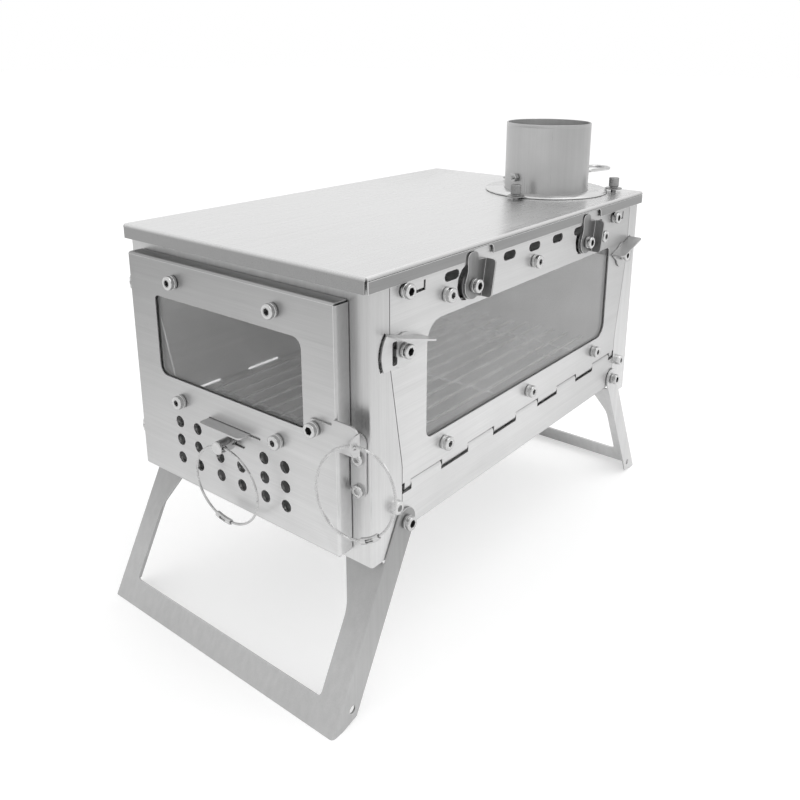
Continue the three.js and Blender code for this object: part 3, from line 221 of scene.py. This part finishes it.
def clear_glass(name, tone, sheen):
    """A clear pane, a little grey, that lets lamp light through, with a sheen and faint smears."""
    m = Nodes(name)
    smears = m.noise(smear_scale, 3)
    m.link(m.ranged(smears, 0.02, 0.07), m.surface.inputs["Roughness"])
    m.link(m.tinted(m.ranged(smears, 0.97, 1.0), grey(tone)), m.surface.inputs["Base Color"])
    m.surface.inputs["Transmission Weight"].default_value = 1.0
    m.surface.inputs["IOR"].default_value = 1.45
    light = m.new("ShaderNodeLightPath")
    either = m.new("ShaderNodeMath", operation="MAXIMUM")
    m.link(light.outputs["Is Shadow Ray"], either.inputs[0])
    m.link(light.outputs["Is Diffuse Ray"], either.inputs[1])
    through = m.new("ShaderNodeBsdfTransparent")
    through.inputs["Color"].default_value = grey(235)
    mix = m.new("ShaderNodeMixShader")
    m.link(either.outputs["Value"], mix.inputs["Fac"])
    m.link(m.surface.outputs["BSDF"], mix.inputs[1])
    m.link(through.outputs["BSDF"], mix.inputs[2])
    gloss = m.new("ShaderNodeBsdfAnisotropic")
    gloss.inputs["Color"].default_value = (1, 1, 1, 1)
    gloss.inputs["Roughness"].default_value = 0.12
    veil = m.new("ShaderNodeMixShader")
    m.link(m.ranged(smears, sheen * 0.8, sheen * 1.2), veil.inputs["Fac"])
    m.link(mix.outputs["Shader"], veil.inputs[1])
    m.link(gloss.outputs["BSDF"], veil.inputs[2])
    m.link(veil.outputs["Shader"], m.output.inputs["Surface"])
    return m.material


# Painted shade and light: the door is darker towards the top and lighter to the right, a painted reflection gradient;
# the side is darker towards the top and the back.
door_painted_light_fades = (("Z", 0.10, 0.24, 1.07, 0.6), ("X", -0.09, 0.08, 0.84, 1.08))
side_painted_light_fades = (("Z", 0.14, 0.25, 1.03, 0.84), ("Y", -0.02, 0.16, 1.0, 0.76))
side_steel = brushed("side_steel", 208, 0.36, "y", painted_light_fades=side_painted_light_fades)
front_steel = brushed("front_steel", 200, 0.36, "x", painted_light_fades=door_painted_light_fades)
# Painted shade: the uprights are darker towards the top.
upright_steel = brushed("upright_steel", 206, 0.36, "z", painted_light_fades=(("Z", 0.10, 0.24, 1.06, 0.8),))
# Painted shade: the lid's sides below its top face are painted at under half the tone of the top.
lid_steel = brushed("lid_steel", 214, 0.27, "y", 0.03, 0.02, (("Z", 0.2462, 0.2478, 0.42, 1.0),))
lid_edge_steel = brushed("lid_edge_steel", 142, 0.4, "y", 0.08)
# Painted shade: the legs are darker towards the top. The back leg is a lighter copy of the same leg steel, darker at
# low x, painted light and shade.
leg_steel = brushed("leg_steel", 182, 0.4, "z", painted_light_fades=(("Z", 0.03, 0.10, 1.0, 0.7),))
back_leg_steel = brushed("back_leg_steel", 206, 0.4, "z", painted_light_fades=(("X", 0.0, 0.07, 0.62, 1.0),))
# Painted shade: the collar is darker on its +x side.
collar_steel = brushed("collar_steel", 182, 0.32, "z", 0.04, 0.1, (("X", 0.042, 0.057, 1.0, 0.82),), 0.6)
rim_steel = brushed("rim_steel", 214, 0.26, "xy", 0.04, 0.04)
# Painted shade and light: the levers' dark tone stands for shade, and their part nearer the middle (x below 0.0879 m)
# is painted lighter.
lever_steel = brushed("lever_steel", 138, 0.42, "z", 0.16, painted_light_fades=(("X", 0.0879, 0.0888, 1.4, 1.0),))
grate_steel = brushed("grate_steel", 240, 0.25, "y", metallic=0.6)
# Painted highlight: a lighter steel for the rounded sheet edges.
edge_steel = brushed("edge_steel", 232, 0.3, "xyz", 0.05)
screw_steel = polished("screw_steel", 196, 0.13)
# Painted shade: a dark steel for cups put in the screw sockets, where there is only shade.
shade_steel = polished("shade_steel", 84, 0.5)
wire_steel = polished("wire_steel", 200, 0.24)
knurled_steel = polished("knurled_steel", 150, 0.28)
side_window_glass = clear_glass("side_window_glass", 246, 0.08)
door_window_glass = clear_glass("door_window_glass", 214, 0.03)


# ---------------------------------------------------------------- mesh helpers
def piece(name, mesh_data, material, body, replaced=()):
    """A new mesh object that rides on a body."""
    vertices, faces = mesh_data
    mesh = bpy.data.meshes.new(name)
    mesh.from_pydata([tuple(v) for v in vertices], [], faces)
    mesh.validate()
    work = bmesh.new()
    work.from_mesh(mesh)
    bmesh.ops.remove_doubles(work, verts=work.verts, dist=1e-7)
    bmesh.ops.recalc_face_normals(work, faces=work.faces)
    work.to_mesh(mesh)
    work.free()
    mesh.shade_smooth()
    mesh.set_sharp_from_angle(angle=math.radians(38))
    mesh.materials.append(material)
    made = bpy.data.objects.new(name, mesh)
    bpy.context.scene.collection.objects.link(made)
    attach(made, body)
    if replaced:
        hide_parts(*replaced)


def combined(*parts):
    """Several meshes in one, each given as (vertices, faces)."""
    vertices, faces = [], []
    for more_vertices, more_faces in parts:
        start = len(vertices)
        vertices += list(more_vertices)
        faces += [tuple(start + k for k in face) for face in more_faces]
    return vertices, faces


def moved(mesh_data, matrix):
    """The same mesh, carried by a matrix."""
    vertices, faces = mesh_data
    return [matrix @ Vector(v) for v in vertices], faces


def hexagon(radius, angle):
    """Distance to the side of a hexagon with that corner radius."""
    return radius * math.cos(math.pi / 6) / math.cos((angle % (math.pi / 3)) - math.pi / 6)


def round_angles(steps):
    return [2 * math.pi * k / steps for k in range(steps)]


def loop_at(size, level, steps, six=False):
    """A level loop about z, round or a hexagon, from a radius and a height in mm."""
    return [
        Vector((math.cos(a), math.sin(a), 0)) * (hexagon(size, a) if six else size) * millimetre
        + Vector((0, 0, level * millimetre))
        for a in round_angles(steps)
    ]


def rings(loops, closed_round=False):
    """Skin between loops of equal length, with flat ends unless it closes on itself."""
    count = len(loops[0])
    vertices = [v for loop in loops for v in loop]
    faces = []
    pairs = len(loops) if closed_round else len(loops) - 1
    for k in range(pairs):
        low, high = k * count, ((k + 1) % len(loops)) * count
        for i in range(count):
            j = (i + 1) % count
            faces.append((low + i, low + j, high + j, high + i))
    if not closed_round:
        faces.append(tuple(reversed(range(count))))
        faces.append(tuple(range(len(vertices) - count, len(vertices))))
    return vertices, faces


def turned_ring(profile, steps):
    """A ring of revolution about z from a closed profile of (radius, height) pairs in mm."""
    loops = []
    for a in round_angles(steps):
        c, s = math.cos(a), math.sin(a)
        loops.append([Vector((r * c, r * s, h)) * millimetre for r, h in profile])
    return rings(loops, closed_round=True)


def tube(path, radius, sides, closed=False):
    """A tube along points, with frames carried along the path."""
    count = len(path)
    loops = []
    tangent = (path[1] - path[0]).normalized()
    side = tangent.orthogonal().normalized()
    for k in range(count):
        before = path[k - 1] if k or closed else path[k]
        after = path[(k + 1) % count] if closed or k < count - 1 else path[k]
        tangent = (after - before).normalized()
        side = (side - side.dot(tangent) * tangent).normalized()
        other = tangent.cross(side)
        loops.append([
            path[k] + radius * (math.cos(a) * side + math.sin(a) * other) for a in round_angles(sides)
        ])
    return rings(loops, closed_round=closed)


def basis(forward, place):
    """A matrix whose z axis points forward."""
    forward = forward.normalized()
    helper = Vector((0, 0, 1)) if abs(forward.z) < 0.9 else Vector((0, 1, 0))
    x_axis = helper.cross(forward).normalized()
    y_axis = forward.cross(x_axis)
    matrix = Matrix((x_axis, y_axis, forward)).transposed().to_4x4()
    matrix.translation = place
    return matrix


# ---------------------------------------------------------------- carried-over nodes
weld_distance = 0.002 * millimetre
flat_angle, fold_angle, split_angle = math.radians(1.5), math.radians(50), math.radians(40)


def dressed(node, material, bevel=0.22):
    """Gives a node its material, smooth curved faces and lightly rounded sheet edges in a lighter steel, a painted
    highlight.
    """
    thing = nodes[node]
    mesh = thing.data
    mesh.materials.clear()
    mesh.materials.append(material)
    mesh.materials.append(edge_steel)
    for polygon in mesh.polygons:
        polygon.material_index = 0
    if "custom_normal" in mesh.attributes:
        mesh.attributes.remove(mesh.attributes["custom_normal"])
    mesh.shade_smooth()
    weld = thing.modifiers.new("weld", "WELD")
    weld.merge_threshold = weld_distance
    if bevel:
        flat = thing.modifiers.new("flat", "DECIMATE")
        flat.decimate_type = "DISSOLVE"
        flat.angle_limit = flat_angle
        rounding = thing.modifiers.new("rounding", "BEVEL")
        rounding.width = bevel * millimetre
        rounding.segments = 2
        rounding.limit_method = "ANGLE"
        rounding.angle_limit = fold_angle
        rounding.harden_normals = True
        rounding.use_clamp_overlap = True
        # The rounded edges take the lighter edge steel, a painted highlight.
        rounding.material = 1
    else:
        split = thing.modifiers.new("split", "EDGE_SPLIT")
        split.split_angle = split_angle


corners = ["front_right", "back_right", "front_left", "back_left"]
for material, names in [
    (side_steel, ["base_tray", "side_panel_right", "side_panel_left"]),
    (upright_steel, ["front_frame", "back_panel", "latch_keeper"]),
    (front_steel, ["air_slide", "door_latch"]),
    (lid_edge_steel, ["lid_edge_right", "lid_edge_left"]),
    (rim_steel, ["collar_flange"]),
    (collar_steel, ["damper_plate"]),
    (leg_steel, ["front_leg"]),
    (back_leg_steel, ["back_leg"]),
]:
    for name in names:
        dressed(name, material)
dressed("door_shell", front_steel, 0.4)
dressed("top_plate", lid_steel, 0.3)
pins = ["hinge_rod_right", "hinge_rod_left", "door_hinge_pin_upper", "door_hinge_pin_lower", "air_knob"]
for material, names in [
    (side_window_glass, ["side_glass"]),
    (door_window_glass, ["door_glass"]),
    (side_steel, ["side_glass_frame"]),
    (front_steel, ["door_glass_frame"]),
    (grate_steel, ["fire_grate"]),
    (screw_steel, pins),
]:
    for name in names:
        dressed(name, material, 0)
for corner in corners:
    dressed("top_lever_" + corner, lever_steel)
    dressed("corner_latch_" + corner, side_steel)

# ---------------------------------------------------------------- socket screws
head_radius, head_height, socket_radius = 4.1, 4.5, 2.4
shank_radius, nut_radius, nut_height = 1.9, 3.6, 2.4
socket_floor = 0.4  # level of the socket's floor, as a share of the head's height
screw_steps = 48


def hexagon_nut(levels):
    """A nut from (corner radius, height) pairs in mm."""
    return rings([loop_at(size, level, screw_steps, True) for size, level in levels])


def socket_screw(length, nut_from=0.0, radius=head_radius, height=head_height):
    """A socket head screw pointing up, its head seated at 0, with a grooved side and a hexagon socket."""
    share = height / head_height
    socket = socket_radius * radius / head_radius
    profile = [
        (shank_radius, -length),
        (shank_radius, 0),
        (radius - 0.25, 0),
        (radius, 0.25 * share),
        (radius, 1.5 * share),
        (radius - 0.35, 1.75 * share),
        (radius - 0.35, 2.0 * share),
        (radius, 2.25 * share),
        (radius, height - 0.8 * share),
        (radius - 0.12, height - 0.35 * share),
        (radius - 0.45, height - 0.08 * share),
        (radius - 1.1, height),
        (socket + 0.2, height),
    ]
    loops = [loop_at(size, level, screw_steps) for size, level in profile]
    loops.append(loop_at(socket, height - 0.25 * share, screw_steps, True))
    loops.append(loop_at(socket, height * socket_floor, screw_steps, True))
    loops.append(loop_at(socket * 0.3, height * socket_floor - 0.3, screw_steps))
    screw = rings(loops)
    if nut_from:
        nut = hexagon_nut([
            (nut_radius - 0.3, -nut_from - nut_height),
            (nut_radius, -nut_from - nut_height + 0.3),
            (nut_radius, -nut_from - 0.2),
            (nut_radius - 0.2, -nut_from),
        ])
        screw = combined(screw, nut)
    return screw


def socket_cup(radius=head_radius, height=head_height):
    """A dark cup of painted shade inside the hexagon socket of a screw that points up, its head seated at 0."""
    floor_level = height * socket_floor
    profile = [
        (0.97, height - 0.5),
        (0.9, height - 0.5),
        (0.9, floor_level + 0.25),
        (0.2, floor_level + 0.2),
        (0.2, floor_level + 0.1),
        (0.97, floor_level + 0.1),
    ]
    socket = socket_radius * radius / head_radius
    return rings([loop_at(socket * share, level, screw_steps, True) for share, level in profile], True)


def new_screw(node, outward, length, nut_from=0.0):
    """A detailed screw in the place of a plain one."""
    low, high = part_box(node)
    middle = (low + high) / 2
    reach = (high - middle).dot(outward) if outward.dot(Vector((1, 1, 1))) > 0 else (low - middle).dot(outward)
    seat = middle + outward * (reach - head_height * millimetre)
    made = moved(socket_screw(length, nut_from), basis(outward, seat))
    piece(node + "_head", made, screw_steel, nodes[node]["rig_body"], [node])
    # A dark cup in the socket, painted shade.
    cup = moved(socket_cup(), basis(outward, seat))
    piece(node + "_socket", cup, shade_steel, nodes[node]["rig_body"])


sideways = {"right": Vector((1, 0, 0)), "left": Vector((-1, 0, 0))}
frontward = Vector((0, -1, 0))
for corner in corners:
    outward = sideways[corner.split("_")[1]]
    new_screw("lever_screw_" + corner, outward, 4, 2.8)
    new_screw("latch_screw_" + corner, outward, 4, 2.8)
    new_screw("hang_screw_" + corner, outward, 3.2)
    new_screw("leg_screw_" + corner, outward, 5.4)
new_screw("door_latch_screw", frontward, 3.6, 2.6)

# Screws that are one piece with a plate: a detailed head and shank cover the plain ones.
cover = 0.12
side_screws = [(98.5, k * 95, lid_top - depth) for k in (-1, 0, 1) for depth in (24, 112.7)]
door_screws = [(-1.5 + way * 42, -169.3, lid_top - depth) for way in (-1, 1) for depth in (26.3, 101)]
keeper_screws = [(90.4, -159.8, lid_top - depth) for depth in (99.3, 117.7)]
for kind, body, outward, places in [
    ("side", "stove", sideways["right"], side_screws),
    ("door", "door", frontward, door_screws),
]:
    covered = (head_radius + cover, head_height + cover)
    heads = [moved(socket_screw(1, 0, *covered), basis(outward, at(*place))) for place in places]
    piece(kind + "_glass_screw_heads", combined(*heads), screw_steel, body)
    # Dark cups in the sockets, painted shade.
    cups = [moved(socket_cup(*covered), basis(outward, at(*place))) for place in places]
    piece(kind + "_glass_screw_sockets", combined(*cups), shade_steel, body)
keeper_heads = [
    moved(socket_screw(1, 0, 3.5 + cover, 2 + cover), basis(frontward, at(*place))) for place in keeper_screws
]
piece("keeper_screw_heads", combined(*keeper_heads), screw_steel, "stove")

# ---------------------------------------------------------------- flue collar
flue_x, flue_y = 38, 120  # mm from the middle of the body
flue = at(flue_x, flue_y, lid_top)
pipe_outer, pipe_inner, pipe_bottom, pipe_top = 32.0, 31.0, 0.3, 52.0
pipe_profile = [
    (pipe_inner, pipe_bottom),
    (pipe_outer, pipe_bottom),
    (pipe_outer, pipe_top - 2.6),
    (pipe_outer - 0.08, pipe_top - 2.4),
    (pipe_outer, pipe_top - 2.2),
    (pipe_outer, pipe_top - 0.3),
    (pipe_outer - 0.3, pipe_top),
    (pipe_inner + 0.25, pipe_top),
    (pipe_inner, pipe_top - 0.25),
]
pipe = moved(turned_ring(pipe_profile, 144), Matrix.Translation(flue))
piece("flue_pipe", pipe, collar_steel, "lid", ["flue_collar"])

# ---------------------------------------------------------------- damper shaft with its wire loop
damper_angle = math.radians(75)
damper_line = Vector((math.cos(damper_angle), math.sin(damper_angle), 0))
damper_side = Vector((-math.sin(damper_angle), math.cos(damper_angle), 0))
damper_middle = flue + Vector((0, 0, 12.5 * millimetre))


def along_damper(reach, sideways_by=0.0):
    """A point on the damper shaft's level, by mm along it and beside it."""
    return damper_middle + (damper_line * reach + damper_side * sideways_by) * millimetre


def rounded_loop(start, end, half, radii, steps=10):
    """Points of a rectangle with round corners along the damper shaft."""
    points = []
    quarters = [
        (end, half, radii[1], 90),
        (start, half, radii[0], 180),
        (start, -half, radii[0], 270),
        (end, -half, radii[1], 0),
    ]
    for x, y, radius, to_degrees in quarters:
        centre_x = x - radius if x == end else x + radius
        centre_y = y - radius if y > 0 else y + radius
        for k in range(steps + 1):
            a = math.radians(to_degrees - 90 + 90 * k / steps)
            points.append(along_damper(centre_x + radius * math.cos(a), centre_y + radius * math.sin(a)))
    return points


shaft = tube([along_damper(-38.5), along_damper(39.4)], 1.5 * millimetre, 24)
handle = tube(rounded_loop(38.6, 67.5, 8.6, (3, 7)), 1.4 * millimetre, 16, True)
nut_loops = []
for size, reach in [(3.1, -36.3), (3.4, -36.0), (3.4, -32.8), (3.1, -32.5)]:
    to_x, to_z = damper_side, Vector((0, 0, 1))
    nut_loops.append([
        along_damper(reach) + (to_x * math.cos(a) + to_z * math.sin(a)) * hexagon(size, a) * millimetre
        for a in round_angles(screw_steps)
    ])
damper_parts = combined(shaft, handle, rings(nut_loops))
piece("damper_handle", damper_parts, screw_steel, "damper", ["damper_shaft"])

# ---------------------------------------------------------------- knurled thumbscrews
thumb_circle = 52
knurl_count = 20


def knurled_head(low, high, radius, depth, rows=9):
    """A head with crossed knurling between two plain chamfers."""
    steps = knurl_count * 4
    loops = [loop_at(radius - 0.5, low, steps)]
    for row in range(rows + 1):
        share = row / rows
        loop = []
        for a in round_angles(steps):
            turn_share, lean = a * knurl_count / 2, share * 5
            wave = abs(math.sin(turn_share + lean)) + abs(math.sin(turn_share - lean))
            size = radius - depth * (1 - wave / 2)
            loop.append(Vector((math.cos(a), math.sin(a), 0)) * size * millimetre
                        + Vector((0, 0, (low + 0.4 + (high - low - 0.8) * share) * millimetre)))
        loops.append(loop)
    for size, level in [(radius - 0.5, high), (radius - 1.3, high + 0.1), (0.8, high + 0.1)]:
        loops.append(loop_at(size, level, steps))
    return rings(loops)


thumb_seat = 1.8
for k, degrees in enumerate((-85.5, 33, 153), 1):
    a = math.radians(degrees)
    place = at(flue_x + thumb_circle * math.cos(a), flue_y + thumb_circle * math.sin(a), lid_top)
    washer_profile = [
        (1.9, -4.0),
        (1.9, thumb_seat),
        (6.2, thumb_seat),
        (6.4, thumb_seat + 0.2),
        (6.4, thumb_seat + 0.75),
        (6.2, thumb_seat + 0.9),
        (3.1, thumb_seat + 1.1),
        (2.8, thumb_seat + 1.8),
    ]
    washer = rings([loop_at(size, level, screw_steps) for size, level in washer_profile])
    head = knurled_head(thumb_seat + 1.8, thumb_seat + 8.75, 3.85, 0.5)
    nut = hexagon_nut([(3.1, -4.4), (3.4, -4.1), (3.4, -1.6), (3.1, -1.4)])
    made = moved(combined(washer, head, nut), Matrix.Translation(place))
    name = "thumbscrew_" + str(k)
    piece(name + "_knurled", made, knurled_steel, name, [name])

# ---------------------------------------------------------------- wire rings
strand_radius, strand_circle = 0.27, 0.53
strand_count, lay_length = 6, 6.5
strand_sides = 6


def hanging_loop(half_width, half_height, shift, start=0.0, end=1.0, count=240):
    """Points of an oval loop in the XZ plane that hangs from the origin, in mm."""
    centre = -half_height * math.sqrt(1 - (shift / half_width) ** 2)
    closed = end - start >= 1
    points = []
    for k in range(count):
        a = 2 * math.pi * (start + (end - start) * k / (count if closed else count - 1))
        points.append(Vector((shift + half_width * math.cos(a), 0, centre + half_height * math.sin(a))))
    return points


def twisted_wire(path):
    """A closed cable of strands laid round a core, along points in mm in the XZ plane."""
    count = len(path)
    length = sum((path[(k + 1) % count] - path[k]).length for k in range(count))
    turns = round(length / lay_length)
    cable = [tube([p * millimetre for p in path], strand_radius * 1.05 * millimetre, strand_sides, True)]
    for strand in range(strand_count):
        line = []
        for k in range(count):
            tangent = (path[(k + 1) % count] - path[k - 1]).normalized()
            outward = Vector((tangent.z, 0, -tangent.x))
            a = 2 * math.pi * (turns * k / count + strand / strand_count)
            offset = outward * math.cos(a) + Vector((0, 1, 0)) * math.sin(a)
            line.append((path[k] + offset * strand_circle) * millimetre)
        cable.append(tube(line, strand_radius * millimetre, strand_sides, True))
    return combined(*cable)


def barrel(path, outer=1.75, inner=1.1, sides=24, window=(0.3, 0.7), half_window=3):
    """A bent sleeve round the wire with a window in its front."""
    count = len(path)
    vertices, faces = [], []
    for k in range(count):
        before, after = path[max(k - 1, 0)], path[min(k + 1, count - 1)]
        tangent = (after - before).normalized()
        outward = Vector((tangent.z, 0, -tangent.x))
        bulge = 1.0 if 0 < k < count - 1 else 0.9
        for radius in (outer * bulge, inner):
            for i in range(sides):
                a = 2 * math.pi * i / sides
                offset = outward * math.sin(a) - Vector((0, 1, 0)) * math.cos(a)
                vertices.append((path[k] + offset * radius) * millimetre)

    def index(k, layer, i):
        return (k * 2 + layer) * sides + i % sides

    def is_open(k, i):
        share = (k + 0.5) / (count - 1)
        near = min(i % sides, sides - 1 - i % sides)
        return window[0] < share < window[1] and near < half_window

    for k in range(count - 1):
        for i in range(sides):
            if is_open(k, i):
                continue
            faces.append((index(k, 0, i), index(k, 0, i + 1), index(k + 1, 0, i + 1), index(k + 1, 0, i)))
            faces.append((index(k, 1, i), index(k + 1, 1, i), index(k + 1, 1, i + 1), index(k, 1, i + 1)))
            for j, edge in ((i - 1, i), (i + 1, i + 1)):
                if is_open(k, j):
                    next_k = k + 1
                    faces.append((index(k, 0, edge), index(next_k, 0, edge), index(next_k, 1, edge), index(k, 1, edge)))
            for m, edge in ((k - 1, k), (k + 1, k + 1)):
                if 0 <= m < count - 1 and is_open(m, i):
                    j = i + 1
                    faces.append((index(edge, 0, i), index(edge, 0, j), index(edge, 1, j), index(edge, 1, i)))
    for k in (0, count - 1):
        for i in range(sides):
            faces.append((index(k, 0, i), index(k, 0, i + 1), index(k, 1, i + 1), index(k, 1, i)))
    return vertices, faces


def wire_ring(name, place, angle, sizes, sleeve):
    """A twisted wire loop and its sleeve, hung at a place and turned about z."""
    matrix = Matrix.Translation(place) @ Matrix.Rotation(angle, 4, "Z")
    cable = moved(twisted_wire(hanging_loop(*sizes)), matrix)
    piece(name + "_cable", cable, wire_steel, name, [name])
    tube_line = hanging_loop(*sizes, *sleeve, count=25)
    made = moved(barrel(tube_line), matrix)
    piece(name + "_sleeve", made, screw_steel, name, [name + "_barrel"])


wire_ring("pull_ring", at(2, -178.6, lid_top - 113.4), 0, (26.4, 23.2, 3.4), (0.69, 0.765))
wire_ring("latch_ring", at(99.6, -172.7, lid_top - 84.3), math.radians(20), (21.4, 26.4, 0), (0.77, 0.85))

# ---------------------------------------------------------------- floor, light and background
def studio_white(m, strength):
    """Full white for rays from the camera, from gloss and through glass, and dimmer light for the rest."""
    rays = m.new("ShaderNodeLightPath")
    seen = m.new("ShaderNodeMath", operation="MAXIMUM")
    m.link(rays.outputs["Is Camera Ray"], seen.inputs[0])
    m.link(rays.outputs["Is Glossy Ray"], seen.inputs[1])
    clear = m.new("ShaderNodeMath", operation="MAXIMUM")
    m.link(seen.outputs["Value"], clear.inputs[0])
    m.link(rays.outputs["Is Transmission Ray"], clear.inputs[1])
    amount = m.new("ShaderNodeMapRange")
    amount.inputs["To Min"].default_value = strength[0]
    amount.inputs["To Max"].default_value = strength[1]
    m.link(clear.outputs["Value"], amount.inputs["Value"])
    return amount.outputs["Result"]


world = bpy.data.worlds.new("studio")
bpy.context.scene.world = world
world.use_nodes = True


class WorldNodes(Nodes):
    def __init__(self):
        self.tree = world.node_tree


sky = WorldNodes()
world.node_tree.nodes["Background"].inputs["Color"].default_value = (1, 1, 1, 1)
sky.link(studio_white(sky, (0.9, 1.0)), world.node_tree.nodes["Background"].inputs["Strength"])

floor_nodes = Nodes("floor_paper")
floor_nodes.surface.inputs["Base Color"].default_value = (0.7, 0.7, 0.7, 1)
floor_nodes.surface.inputs["Roughness"].default_value = 0.9
floor_nodes.surface.inputs["Emission Color"].default_value = (1, 1, 1, 1)
floor_nodes.link(studio_white(floor_nodes, (0.0, 0.4)), floor_nodes.surface.inputs["Emission Strength"])
half_floor = 12
floor_mesh = bpy.data.meshes.new("floor")
floor_corners = [(x * half_floor, y * half_floor, 0) for x, y in ((-1, -1), (1, -1), (1, 1), (-1, 1))]
floor_mesh.from_pydata(floor_corners, [], [(0, 1, 2, 3)])
floor_mesh.materials.append(floor_nodes.material)
floor = bpy.data.objects.new("floor", floor_mesh)
bpy.context.scene.collection.objects.link(floor)


def soft_lamp(name, place, side, power):
    """A square area lamp that faces the stove."""
    data = bpy.data.lights.new(name, "AREA")
    data.shape = "RECTANGLE"
    data.size = side
    data.size_y = side
    data.energy = power
    lamp = bpy.data.objects.new(name, data)
    bpy.context.scene.collection.objects.link(lamp)
    lamp.location = place
    lamp.rotation_euler = (Vector(lamp_target) - Vector(place)).to_track_quat("-Z", "Y").to_euler()


lamp_target = (0, 0, 0.1)
soft_lamp("key_lamp", (1.0, 0.3, 1.7), 1.4, 7)
soft_lamp("top_lamp", (-0.4, 0.6, 1.9), 1.6, 3)

bpy.context.scene.view_settings.view_transform = "Standard"
